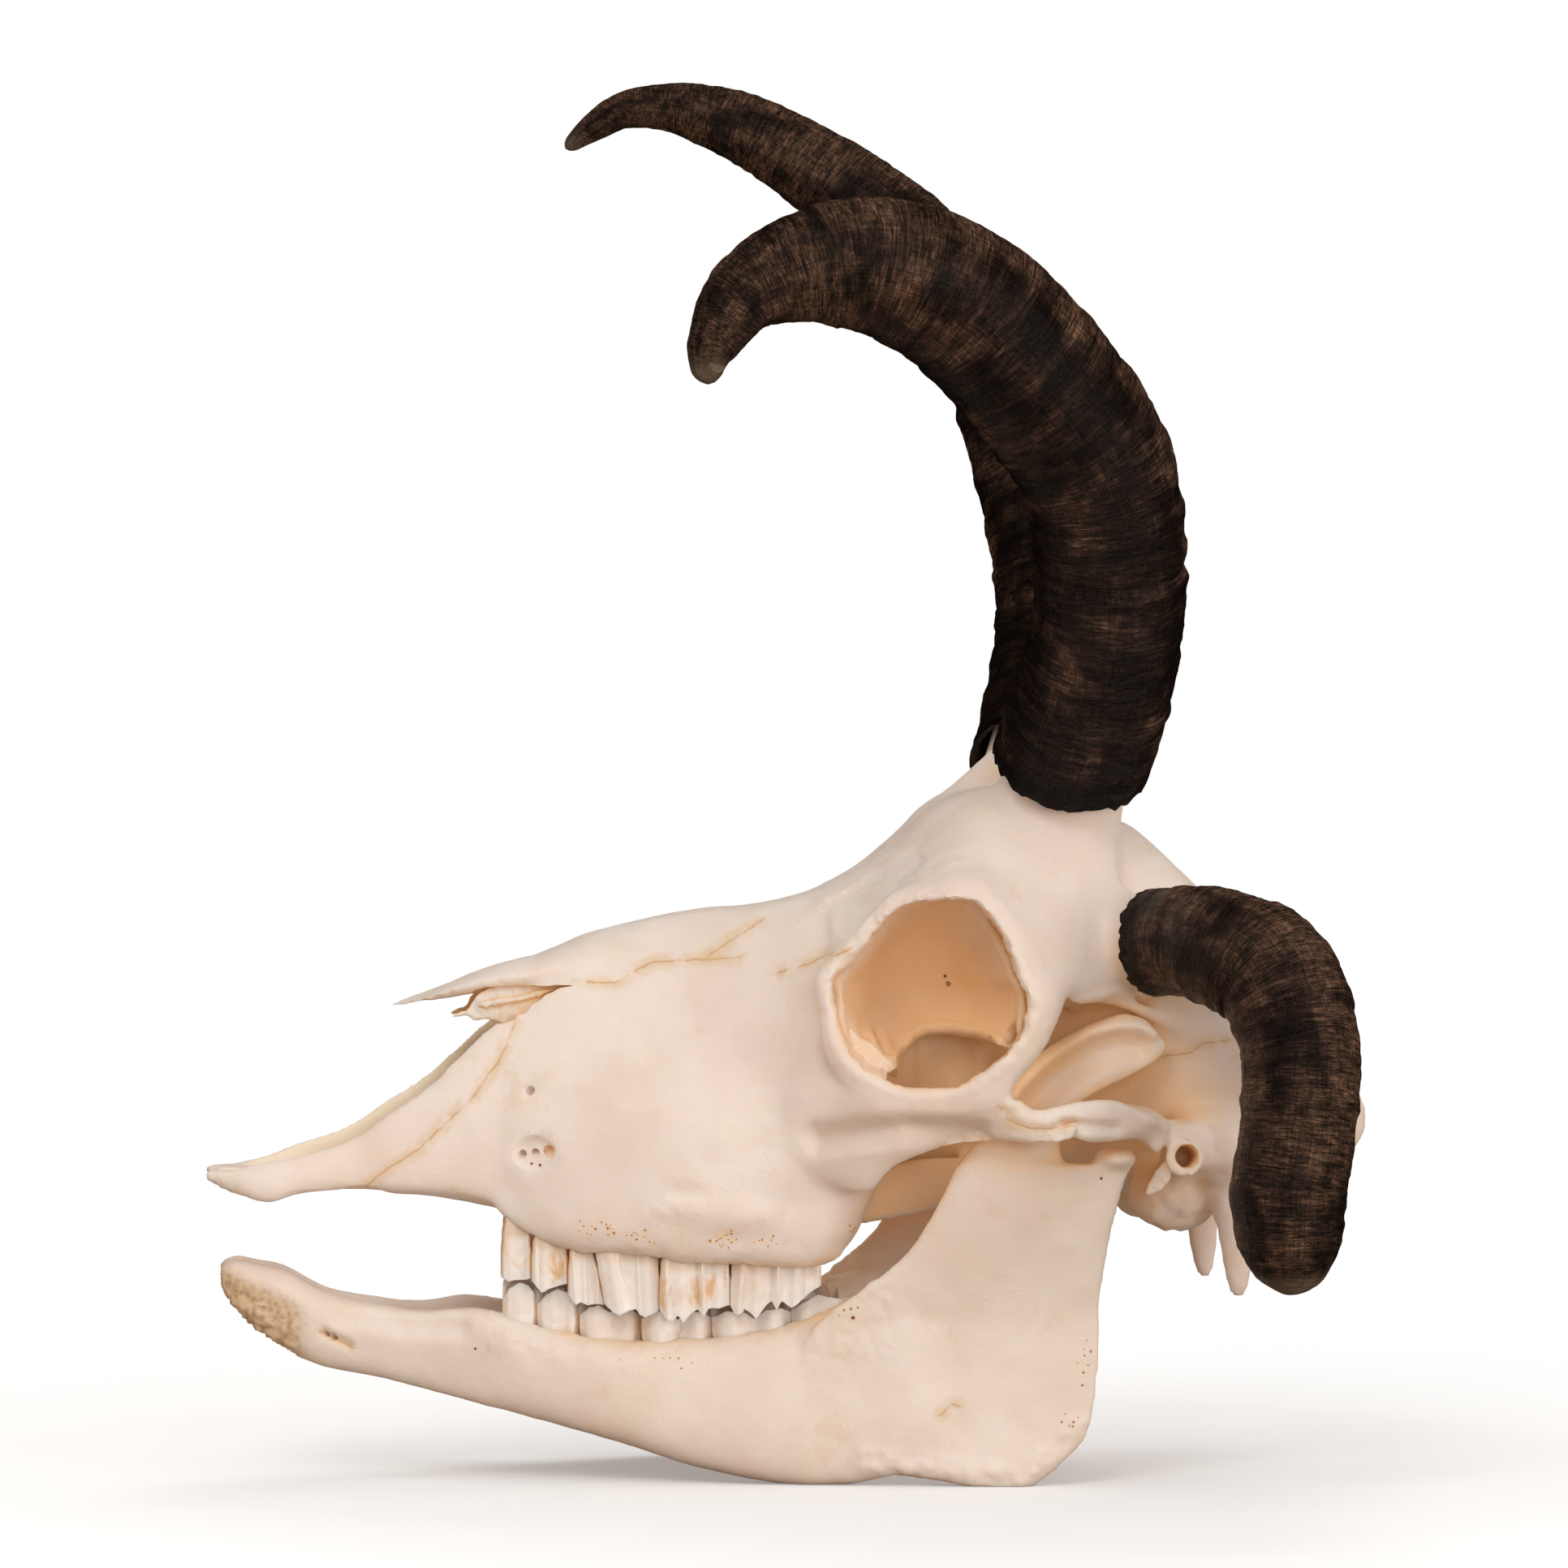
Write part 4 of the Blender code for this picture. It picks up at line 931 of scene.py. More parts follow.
collars = [rolled("ear_collar", tube_rings(EAR_COLLAR, side)) for side in BOTH_SIDES]
collars.append(rolled("nasal_tip", mirrored_rings(nasal_rows(NASAL_TIP))))
combine(cranium, joined("ear_collars", collars), "UNION")

recesses = []
for side in BOTH_SIDES:
    rings = outline_rings(SOCKET_RECESS, RECESS_DEPTHS) * (1, -side, 1)
    recesses.append(rolled("recess", rings))
    recesses.append(rolled("ear_bore", tube_rings(EAR_BORE, side)))
    for hole in NERVE_HOLES:
        recesses.append(rolled("nerve", tube_rings(hole, -side, sides=12)))
recess = joined("recesses", recesses)
fuse(recess, 0.4, 0)
combine(cranium, recess, "DIFFERENCE")
fuse(cranium, BONE_VOXEL, 1)
one_skin(cranium)
report("eye sockets", triangles(cranium))

# %% [markdown]
# The skin is now worked over. Growth leaves low swellings, the rim of the eye socket is granular and toothed,
# stitched joints between the old bones are fine grooves, and the edge over the teeth is scalloped.

# %% Cranium: lines seen in side view
# The stitched joints and a crack, which the finish colours too.
JOINTS = {
    "nasal_joint": ((-46, 108.2), (-38, 108), (-31, 112.5), (-22, 113.2), (-12, 113.6)),
    "nasal_branch": ((-18, 114.2), (-12, 118), (-6.5, 121.3)),
    "premaxilla_joint": (
        (-60, 99.3), (-63.6, 91.2), (-68.7, 84), (-72.8, 80), (-81, 72), (-88.8, 67), (-93, 63.4),
    ),
    "lacrimal_joint": ((-3, 110.6), (3, 112.4), (11, 116.2)),
    "cheek_joint": ((42.6, 82), (44, 79.9), (47.8, 78.1), (52.7, 77.6), (58, 79.1)),
    "temple_crack": ((80, 92.2), (86.5, 93), (88.8, 95.2), (94, 95.6)),
}
ARCH_EDGE = ((44, 83.0), (52.6, 82.6), (61.3, 83), (67.4, 82.6), (73.7, 80.0), (79.3, 76.8))
ARCH_HOLLOW = ((56, 78.6), (62, 78.2), (68, 77.6))
ARCH_LIP = ((41, 76.5), (48, 75.6), (54, 75.8), (58.2, 77.6))
ARCH_UNDERSIDE = ((4, 75), (14, 76.5), (22, 77.6), (30, 76.8), (38, 75.8))
EAR_CRACK = ((79.2, 72.5), (81, 77.8), (86, 79.2), (90.5, 76.5), (91.5, 71))
BROW_GROOVE = ((21.2, 131), (24, 133), (27, 135.6))
FACIAL_CREST = ((20, 77), (6, 71), (-8, 65.5), (-22, 61))
TEMPORAL_EDGE = ((58, 103.8), (63, 105.3), (69, 106.7), (75, 106))
# The outline of the eye opening, the folds in front of its floor and the ledge over its recess.
ORBIT_OUTLINE = (
    (47.4, 101.6), (47.6, 106), (45.6, 110), (44, 115), (40.4, 122), (36.6, 126), (33, 126.5), (28, 126.3),
    (23.5, 125.6), (19.8, 124), (17.4, 121.3), (13.7, 117), (10.4, 113.3), (7.2, 109), (8, 103), (10.4, 94),
    (13.7, 90.6), (17.4, 88.5), (21.6, 86.7), (26.3, 86.4), (31, 86.5), (35.7, 88), (40.7, 92), (44, 94.7),
    (46.3, 98),
)
LACRIMAL_FOLDS = (
    ((10.5, 99.5), (12.5, 94.5), (17.0, 90.0)), ((14.5, 99.0), (15.0, 95.0), (19.0, 90.5)),
    ((18.5, 98.0), (18.6, 94.5), (21.5, 91.5)),
)
LEDGE = ((46, 95.0), (41, 98.0), (35, 98.8), (28.4, 98.4), (23.0, 93.6), (17.4, 88.8))

# %% Cranium: the eye opening drawn out
# The middle radius of the eye opening.
EYE_RADIUS = 19.4
clay = Clay(cranium)


def around_eye(clay):
    """Where every point is from the middle of the eye opening, how far, and its turn from the rear."""
    across, up = clay.x - ORBIT_X, clay.z - ORBIT_Z
    return across, up, np.hypot(across, up), np.degrees(np.arctan2(up, across))


# The rim of the fused form is a plain ring. It is melted into the bone round it, above all at the top and
# the rear, and then the round opening is drawn out to its real outline.
_, _, eye_far, eye_turn = around_eye(clay)
moat = held(eye_far, 20.2, 23) * held(eye_far, 41, 33) * held(clay.depth, -32, -40)
moat *= 1 - 0.75 * held(eye_turn, -25, -55) * held(eye_turn, -175, -150)
soften(cranium, moat, 130)
clay.read()
across, up, eye_far, eye_turn = around_eye(clay)
outline = np.array(ORBIT_OUTLINE) - (ORBIT_X, ORBIT_Z)
outline_turn = np.degrees(np.arctan2(outline[:, 1], outline[:, 0]))
order = np.argsort(outline_turn)
reach = np.interp(eye_turn, outline_turn[order], np.hypot(*outline[order].T), period=360)
stretch = (reach / EYE_RADIUS - 1) * held(eye_far, 33, 22) * held(eye_far, 5, 15) * (clay.depth < -24)
clay.points[:, X] += across * stretch
clay.points[:, Z] += up * stretch
clay.write()

# %% Cranium: worked surface
clay.push(clay.lumps((0.38, 17, 1), (0.24, 7, 2), (0.06, 2.2, 3)))
_, _, eye_far, eye_turn = around_eye(clay)
on_rim = held(np.abs(eye_far - reach + EYE_RADIUS - 20.6), 2.6, 0.6) * held(clay.depth, -40, -46)
upper_rim = held(eye_turn, 20, 45) * held(eye_turn, 190, 172) + held(eye_turn, -165, -172)
rear_rim = held(np.abs(eye_turn), 60, 30)
lower_rim = held(eye_turn, -20, -50) * held(eye_turn, -178, -150)
grains = 0.50 * upper_rim * clay.lumps((0.7, 1.1, 4), (0.5, 2.2, 5))
clay.push(on_rim * (grains + rear_rim * clay.lumps((0.45, 1.7, 6)) + 0.45 * lower_rim))
# Rough specks on the bone round the rim.
clay.push(0.14 * held(np.abs(eye_far - 25), 6, 2) * held(clay.lumps((1, 0.9, 16)), 0.15, 0.6))
# The floor of the socket is streaked upright.
deep = (eye_far < 24) * held(clay.depth, -52, -44) * held(clay.z, 100, 92)
clay.push(0.5 * deep * noise(clay.points * (1.0, 0.3, 0.25), 1.7, 34))
clay.push((eye_far < 19) * held(clay.depth, -48, -40) * clay.lumps((0.35, 6.0, 35)))
# The thin lacrimal bone bulges into the socket, with folds; a sharp ledge ends it.
clay.push(3.6 * clay.near((15.0, -38, 92.5), (14, 16, 12), 0.0) * (eye_far < 19))
for fold in LACRIMAL_FOLDS:
    clay.push(-0.7 * clay.groove(fold, 1.7, -0.3, 10) * (eye_far < 18))
clay.push(0.9 * clay.groove(LEDGE, 1.5, -0.6, 10) * (eye_far < 20))

# Lines with how high they stand, their width, how far outwards the bone has to face, the least distance
# from the middle plane, and the share, lump size and seed of any roughness. The arch of the cheek has a
# sharp upper edge, a hollow under its joint, a lip below that, and an underside that is drawn in.
WORKED_LINES = (
    (0.9, FACIAL_CREST, 9, 0.2, 20),
    (-0.14, JOINTS["premaxilla_joint"], 0.8, 0.15, 2),
    (-0.10, JOINTS["nasal_joint"], 1.2, 0.15, 2, (1.0, 1.2, 15)),
    (-0.12, JOINTS["lacrimal_joint"], 0.9, 0.15, 2),
    (-0.35, JOINTS["cheek_joint"], 0.9, 0.1, 40),
    (-0.20, JOINTS["temple_crack"], 0.8, 0.1, 20),
    (-0.80, BROW_GROOVE, 1.8, 0.0, 20),
    (0.80, TEMPORAL_EDGE, 1.8, 0.0, 30),
    (0.85, ARCH_EDGE, 1.4, -0.3, 40),
    (-1.30, ARCH_HOLLOW, 2.4, -0.2, 40),
    (0.50, ARCH_LIP, 1.6, -0.3, 40, (0.5, 1.3, 17)),
)
for height, path, width, facing, least_y, *rough in WORKED_LINES:
    amount = height * clay.groove(path, width, facing, least_y)
    for layer in rough:
        amount = amount * (1 + clay.lumps(layer))
    clay.push(amount)
# A shallow hollow in front of the cheek, with the small and the large nerve hole of the face.
clay.push(-1.5 * clay.spot(-56.2, 71.5, 4.9, 3.7, 0.72, 15))
clay.push(-0.5 * clay.spot(-57.6, 84.7, 2.8, 2.0, 0.2, 15))
clay.push(-2.3 * clay.groove(ARCH_UNDERSIDE, 5.0, 0.1, 34))
# A rough muscle mark and a low swelling over the molars.
clay.push(clay.spot(-27, 59.5, 9, 3.8, 0.0, 25) * (0.56 + clay.lumps((0.49, 1.8, 18))))
clay.push(1.5 * clay.spot(-12, 58, 12, 6, 0.0, 25))
clay.push(-0.8 * clay.spot(-24, 63.5, 6, 3.0, 0.0, 25))
# The edge over the upper teeth: lumpy, with a rolled lower lip.
lip = held(clay.z, 58, 50) * held(clay.z, 40, 44) * (clay.x < 18) * (clay.depth < -20) * (clay.x > -66)
clay.push(lip * clay.lumps((0.30, 3.2, 7), (0.22, 1.3, 8)))
# Rugged bone round the ear and at the base of the skull.
clay.push(clay.near((91, -30, 66), (14, 16, 18), 0.3) * clay.lumps((0.7, 4.2, 9), (0.3, 1.8, 10)))
clay.push(clay.near((84, -24, 58), (15, 13, 12), 0.4) * clay.lumps((1.0, 4.4, 36), (0.4, 1.9, 37)))
clay.push(-0.5 * clay.groove(EAR_CRACK, 1.2, 0.0, 20))
# The back of the head and the front ends of the nose bones are rough.
clay.push(held(clay.x, 108, 118) * (clay.lumps((0.30, 3.0, 11), (0.15, 1.3, 12)) - 0.5))
clay.push(held(clay.x, -117, -125) * clay.lumps((0.22, 2.2, 19), (0.22, 1.1, 20)))
report("cranium worked")

# %% [markdown]
# The skin is thinned to a mesh that a viewer can carry. The tooth sockets and the small holes are cut after
# that, so that their edges stay crisp.

# %% Cranium: sockets, nerve holes and pores
CRANIUM_TRIANGLES = 150000
# Teeth: name, front and rear x, z of the gum, z of the edge outside and inside, y outside and inside.
UPPER_TEETH = (
    ("premolar_1", -63.0, -56.9, 54.5, 43.8, 45.5, 25.2, 16.6),
    ("premolar_2", -56.5, -49.0, 51.6, 41.8, 44.0, 27.0, 17.4),
    ("premolar_3", -48.6, -42.0, 50.8, 39.6, 42.6, 28.9, 18.2),
    ("molar_1", -41.6, -29.3, 50.4, 36.6, 41.2, 31.2, 19.6),
    ("molar_2", -28.9, -14.1, 48.2, 35.5, 41.0, 33.8, 21.4),
    ("molar_3", -13.7, 5.7, 47.4, 36.6, 42.0, 34.3, 22.2),
)
LOWER_TEETH = (
    ("premolar_1", -62.6, -55.6, 33.0, 42.4, 43.4, 23.8, 18.0),
    ("premolar_2", -55.2, -46.4, 32.4, 40.2, 42.4, 24.8, 18.4),
    ("premolar_3", -46.0, -33.0, 30.6, 38.0, 40.8, 26.2, 18.8),
    ("molar_1", -32.6, -17.8, 30.0, 36.0, 39.6, 28.8, 20.4),
    ("molar_2", -17.4, -0.6, 31.6, 36.0, 39.6, 30.0, 21.6),
    ("molar_3", -0.2, 15.0, 35.0, 37.6, 38.4, 30.0, 22.0),
)
ROOT_LENGTH = 5.0
ROOT_INSET, ROOT_PLAY = 1.0, 0.25
# How far a trench passes the gum line, so that it cuts the skin cleanly.
TRENCH_RISE = 6.0


def socket_rings(teeth, side, away):
    """The trench that holds a row of roots, which are a little narrower than the crowns."""
    play = ROOT_PLAY - ROOT_INSET
    rings = []
    for i, (_, first, last, gum, _, _, outer, inner) in enumerate(teeth):
        starts = (first - play if i == 0 else first, last + play if i == len(teeth) - 1 else last)
        deep = gum + away * (ROOT_LENGTH + play)
        shallow = gum - away * TRENCH_RISE
        far, near = outer + play, inner - play
        corners = ((far, shallow), (far, deep), (near, deep), (near, shallow))
        for x in starts:
            rings.append([(x, y * side, z) for y, z in corners])
    return rings


# Small holes as x and z of the mouth, the way in and the radius, on both sides.
FACE_HOLES = (
    (-57.0, 84.7, (0.6, 1.0, -0.3), 1.25), (-58.7, 71.0, (0.3, 1.0, 0.3), 1.1),
    (-55.9, 71.3, (0.0, 1.0, 0.5), 1.05), (-52.9, 71.7, (-0.3, 1.0, 0.4), 1.5),
    (-56.8, 68.9, (0.0, 1.0, 0.1), 0.35), (-55.0, 68.6, (0.0, 1.0, 0.1), 0.4),
    (33.6, 109.5, (0.0, 1.0, 0.0), 0.45), (34.3, 107.8, (0.0, 1.0, 0.0), 0.7),
)
# Clusters of pores over the tooth roots: middle x and z, half extents, how many.
UPPER_PORES = (
    (-42.0, 55.4, 4.5, 1.6, 20), (-34.0, 53.6, 3.5, 1.6, 14), (-15.5, 53.2, 4.5, 1.6, 18),
    (-6.5, 52.6, 3.5, 1.2, 7), (12.6, 54.5, 1.0, 2.6, 10),
)
PORE_DEPTH = 0.8


class Drill:
    """Collects small tapering cutters that don't touch each other, and uses them in one cut."""

    def __init__(self, obj, seed):
        self.obj = obj
        self.tree = BVHTree.FromObject(obj, bpy.context.evaluated_depsgraph_get())
        self.rng = np.random.default_rng(seed)
        self.places = []
        self.cones = []

    def hole(self, x, z, way, radius, side, depth):
        hit = self.tree.ray_cast(Vector((x, side * 90, z)) * MM, Vector((0, -side, 0)))[0]
        if hit is None:
            return
        mouth = Vector(hit) / MM
        for place, size in self.places:
            if (place - mouth).length < size + radius + 0.15:
                return
        self.places.append((mouth, radius))
        way = Vector((way[0], -side * way[1], way[2])).normalized()
        bpy.ops.mesh.primitive_cone_add(
            vertices=12,
            radius1=radius * MM,
            radius2=radius * 0.6 * MM,
            depth=(depth + 1.0) * MM,
            location=(mouth + way * (depth - 1.0) / 2) * MM,
            rotation=way.to_track_quat("Z", "Y").to_euler(),
        )
        self.cones.append(bpy.context.object)

    def pores(self, clusters, side):
        for x, z, half_x, half_z, count in clusters:
            for _ in range(count):
                spot_x, spot_z = (x, z) + (half_x, half_z) * self.rng.normal(0, 0.55, 2)
                radius = 0.16 + 0.30 * self.rng.random() ** 3
                self.hole(spot_x, spot_z, (0, 1, 0), radius, side, PORE_DEPTH)

    def cut(self):
        select(*self.cones)
        bpy.ops.object.transform_apply(location=True, rotation=True, scale=True)
        combine(self.obj, joined("holes", self.cones), "DIFFERENCE")


# Thin sheets of bone as outlines in side view.
NOSE_SHEET = (
    (-73.8, 100.4), (-72, 101.5), (-70.6, 101.9), (-69.7, 103.2), (-68.5, 105.0), (-66.1, 106.7),
    (-62.6, 107.6), (-55.5, 108.6), (-46.0, 109.2), (-45.0, 101.0), (-50.0, 96.0), (-58.0, 96.0),
    (-62.0, 98.4), (-66.1, 100.0), (-68.8, 99.6), (-70.6, 100.6),
)
NOSE_FOLD = (
    (-68.4, 102.9), (-66, 104.2), (-60, 104.9), (-53, 106.8), (-51, 106.6), (-56, 104.6), (-62, 103.4),
    (-66, 102.6),
)
CHEEK_TONGUE = (
    (40.8, 79.0), (41.6, 80.4), (42.6, 80.9), (43.6, 79.6), (47.7, 77.6), (52.9, 77.2), (57.6, 78.4),
    (58.6, 77.6), (57.9, 76.1), (54.7, 74.9), (49.4, 75.1), (44.8, 75.9), (41.6, 77.4),
)
EAR_FLAKE = ((80.6, 70.4), (81.0, 66.8), (78.8, 63.7), (76.3, 62.4), (75.7, 63.6), (78.2, 68.3))
# Each sheet with its y at its smallest and at its largest x, and half its thickness.
SHEETS = (
    (NOSE_SHEET, 10.6, 14.6, 0.5), (NOSE_FOLD, 12.4, 14.8, 0.45), (CHEEK_TONGUE, 52.6, 57.9, 0.9),
    (EAR_FLAKE, 40.5, 43.0, 0.7),
)
# How wide a sheet is through its thickness: its edges are rounded.
SHEET_DEPTHS = ((-1, 0.93), (-0.6, 1.0), (0.6, 1.0), (1, 0.93))


def sheet(outline, y_first, y_last, half_thick, side):
    """A thin ragged sheet cut to an outline in side view."""
    outline = eased_loop(outline, 4)
    rings = outline_rings(outline, [(share * half_thick, scale) for share, scale in SHEET_DEPTHS])
    ends = (outline[:, 0].min(), outline[:, 0].max())
    rings[:, :, Y] += np.interp(rings[:, :, X], ends, (y_first, y_last))
    made = rolled("sheet", rings * (1, side, 1))
    fuse(made, 0.36, 2)
    ragged = Clay(made)
    ragged.push(ragged.lumps((0.22, 1.3, 13), (0.12, 0.7, 14)))
    return made


# Two cuts leave sharp edges that the fused skin can't hold: the toothed rim of the eye socket, and the gap
# between the nasal bone and the ragged upper edge of the cheek bone. Each has its outline, how rough it is,
# its seed, and how wide it is at several depths.
NOSE_GAP = (
    (-47.6, 107.5), (-50.3, 106.9), (-52.1, 105.9), (-53.4, 105.4), (-54.7, 104.2), (-56.2, 103.4),
    (-57.4, 101.8), (-59.4, 100.9), (-61.0, 99.6), (-64.0, 99.0), (-70.0, 98.0), (-70.0, 106.0),
    (-60.0, 107.2), (-54.0, 107.4),
)
CUTS = {
    "rim_cut": (ORBIT_OUTLINE, 0.5, 31, ((75, 1.03), (52, 1.0), (46, 0.97), (43, 0.9))),
    "nose_cut": (NOSE_GAP, 0.22, 33, ((26, 1.0), (15, 1.0), (8, 0.9))),
}


def toothed(outline, size, seed):
    """An outline in side view whose edge is roughened."""
    outline = eased_loop(outline, 10)
    out = unit(outline - outline.mean(axis=0))
    flat = np.column_stack([outline, np.zeros(len(outline))])
    return outline + out * (size * lumps(flat, (1, 1.1, seed), (0.6, 2.4, seed + 1)))[:, None]


thin_out(cranium, CRANIUM_TRIANGLES)
cuts = []
for side in BOTH_SIDES:
    for name, (outline, size, seed, depths) in CUTS.items():
        cuts.append(rolled(name, outline_rings(toothed(outline, size, seed), depths) * (1, side, 1)))
combine(cranium, joined("cuts", cuts), "DIFFERENCE")
sheets = joined("sheets", [sheet(*row, side) for row in SHEETS for side in BOTH_SIDES])
combine(cranium, sheets, "UNION")
drill = Drill(cranium, 11)
for side in BOTH_SIDES:
    for hole in FACE_HOLES:
        drill.hole(*hole, side, 2.0)
    drill.pores(UPPER_PORES, side)
drill.cut()
trenches = [rolled("sockets", socket_rings(UPPER_TEETH, side, 1)) for side in BOTH_SIDES]
combine(cranium, joined("trenches", trenches), "DIFFERENCE")
report("cranium cut", triangles(cranium))

# %% [markdown]
# What the colours need is stored on the points: the distance from each stitched joint, and how closed in a place
# is.
# Hollows of a cleaned skull are tan to orange because fat stays there, and the warm light that bounces in them
# is painted into the colour by how closed in a place is.

# %% Point values for the finishes
RAY_REACH = 50.0
# The turn between neighbours on an even spiral over a ball.
SPIRAL_TURN = 2.399963
BONE_EDGE_ANGLE = math.radians(52)


def store(obj, name, values):
    """A value or a vector for every point."""
    values = np.asarray(values, dtype=np.float32)
    kind, key = ("FLOAT", "value") if values.ndim == 1 else ("FLOAT_VECTOR", "vector")
    layer = obj.data.attributes.new(name, kind, "POINT")
    layer.data.foreach_set(key, values.ravel())


def store_lines(obj, clay, lines):
    """Distance across every line in side view, and how strong the line is there."""
    for name, path in lines.items():
        signed, share, past = trace(clay.points, path)
        strength = held(past, 2.5, 0.3) * held(np.abs(signed), 6.0, 4.0) * clay.face(0.1, 2.0)
        store(obj, name, np.column_stack([signed, strength, share]))


def evened(obj, values, rounds):
    """Values of points, averaged with those of their neighbours."""
    edges = np.empty(len(obj.data.edges) * 2, dtype=np.int32)
    obj.data.edges.foreach_get("vertices", edges)
    a, b = edges.reshape(-1, 2).T
    count = np.bincount(edges, minlength=len(values))
    for _ in range(rounds):
        total = np.bincount(a, values[b], len(values)) + np.bincount(b, values[a], len(values))
        values = 0.5 * values + 0.5 * total / np.maximum(count, 1)
    return values


def closed_in(obj, trees, rays=18):
    """For every point, the share of the directions over it that are blocked within the reach."""
    clay = Clay(obj)
    turn = np.arange(rays) * SPIRAL_TURN
    height = 1 - (2 * np.arange(rays) + 1) / rays
    flat = np.sqrt(1 - height**2)
    ways = np.column_stack([flat * np.cos(turn), flat * np.sin(turn), height])
    facing = clay.normals @ ways.T
    starts = (clay.points + clay.normals * 0.25) * MM
    blocked = np.zeros(len(starts))
    weights = np.where(facing > 0.15, facing, 0.0)
    for k, way in enumerate(ways):
        way = Vector(way)
        for i in np.nonzero(weights[:, k])[0]:
            start = starts[i]
            if any(tree.ray_cast(start, way, RAY_REACH * MM)[0] is not None for tree in trees):
                blocked[i] += weights[i, k]
    share = evened(obj, blocked / np.maximum(weights.sum(axis=1), 1e-6), 10)
    # The thin bones at the front of the nose let light through and stay pale,
    # so the painted bounce light is mostly left off there.
    return share * (1 - 0.8 * held(clay.x, -48, -62) * held(clay.z, 101, 96))


def smoothed_by_angle(obj):
    select(obj)
    bpy.ops.object.shade_smooth_by_angle(angle=BONE_EDGE_ANGLE)


smoothed_by_angle(cranium)
clay = Clay(cranium)
# A soft brown band under the eye socket: painted shade where the bone faces down, with some grease.
MALAR_SHADE_AND_GREASE = ((6, 74), (14, 78), (24, 79.5), (33, 79), (42, 76.5))
store(cranium, "stained", evened(cranium, clay.groove(MALAR_SHADE_AND_GREASE, 8.0, -0.4, 30), 6))
# Painted light: the inner faces at the front of the nose are made pale yellow, as light through the thin bone
# makes them.
inner_front = held(clay.outward, -0.2, -0.6) * held(clay.x, -56, -66) * held(clay.z, 101, 97)
store(cranium, "painted_light_at_nose", inner_front)
store_lines(cranium, clay, JOINTS)
report("cranium values")

# %% [markdown]
# Each half of the lower jaw is a deep plate: the body that holds the teeth, the broad ramus with its rounded
# corner, the blade that the chewing muscle pulled on, and the joint head. The rows are those of the solid.

# %% Jaw sections
CHIN_GAP = 0.3
JAW_BODY = (
    (-124.5, 4.5, 41.5, -124.5, 4.5, 45.6, 4.0), (-121, 5, 35.2, -121, 5, 47.0, 6.2),
    (-116, 5.6, 31.0, -116, 5.6, 46.0, 7.0), (-110, 6.2, 27.0, -110, 6.6, 44.6, 7.0),
    (-101, 7.5, 23.6, -101, 8, 40.0, 6.8), (-90, 10.5, 21.8, -90, 11.5, 37.6, 5.6),
    (-80, 14, 19.4, -80, 15, 36.4, 4.8), (-70, 18, 16.8, -70, 18, 37.2, 5.0),
    (-62, 20, 14.8, -62, 21, 36.0, 5.6), (-50, 23, 11.6, -50, 22.5, 32.4, 6.6),
    (-35, 27, 7.4, -35, 24.5, 30.2, 7.4), (-20, 30.5, 3.0, -20, 26, 31.0, 7.6),
    (-8, 33, 0.4, -8, 26.5, 32.4, 7.4), (3, 35.5, -0.6, 3, 27.5, 35.0, 6.8), (14, 38, 0.4, 14, 32, 40.0, 5.2),
    (24, 40, 3.0, 24, 37, 42.0, 3.6), (34, 40.6, 7.0, 34, 39, 44.0, 2.0),
)
RAMUS = (
    (40, 41.0, -0.7, 51, 41.5, -0.7, 2.2), (26, 40.0, 1.8, 54, 42.0, 1.8, 3.2),
    (8, 37.0, 5.0, 57.5, 42.5, 5.0, 3.4), (2, 36.0, 9.0, 61.5, 42.5, 9.0, 3.3),
    (-2, 35.0, 14.0, 63.8, 42.5, 14.0, 3.1), (0, 35.0, 25.0, 65.2, 42.8, 25.0, 2.9),
    (4, 35.0, 34.0, 65.7, 43.0, 34.0, 2.8), (11, 37.0, 40.0, 65.6, 43.5, 40.0, 2.7),
    (22.6, 40.5, 49.0, 66.6, 44.5, 49.0, 2.6), (28.9, 42.5, 58.6, 68.6, 45.5, 58.6, 2.5),
    (32.8, 43.0, 66.0, 70.8, 46.0, 66.0, 2.5), (34.8, 43.2, 69.6, 72.2, 46.3, 69.6, 2.4),
)
CORONOID = (
    (33.5, 43.2, 68.0, 58, 44.5, 68.5, 2.5), (38.4, 43.2, 74.5, 56.8, 44.0, 74.5, 2.3),
    (43.8, 42.4, 83.0, 60.5, 42.6, 81.0, 2.1), (49.2, 41.4, 90.6, 65.9, 41.4, 85.0, 2.0),
    (59.0, 40.4, 97.6, 72.0, 40.4, 88.0, 1.9), (69.5, 39.8, 101.6, 77.8, 39.8, 91.4, 1.9),
    (75.6, 39.6, 100.6, 80.4, 39.6, 94.6, 1.6),
)
JAW_JOINT_HEAD = ((68.6, 43.4, 70.6), (4.6, 7.2, 2.6))

# %% [markdown]
# The jaw's own marks: a broken chin that shows the spongy inside, a slit for the nerve of the lip, a swelling
# below the teeth, a rough edge where the muscle held on, and a rolled rim on the blade.

# %% Jaw lines seen in side view
BLADE_RIM = (
    (43, 78), (45.2, 82.2), (48.3, 86.6), (52.6, 90.8), (57.6, 94.5), (63.3, 97.9), (69.3, 99.2),
    (74.3, 99.1), (77.5, 97.4),
)
BLADE_FACE = ((47.5, 76), (51, 82), (54.5, 86.0), (59, 89.8), (65, 93.1), (70.5, 94.6), (74.5, 94.6))
ANGLE_RIDGE = ((14, 5.5), (26, 4.5), (38, 2.8), (48, 2.4), (56, 6.5), (61, 13))
BODY_BAND = ((-98, 35.6), (-84, 33.4), (-72, 33.2))
JAW_LINES = {
    "lip_slit": ((-102, 31.6), (-99, 30.2), (-96.2, 28.6)),
    "jaw_crack": ((31, 15.5), (33.5, 17.6), (35, 17.2)),
}
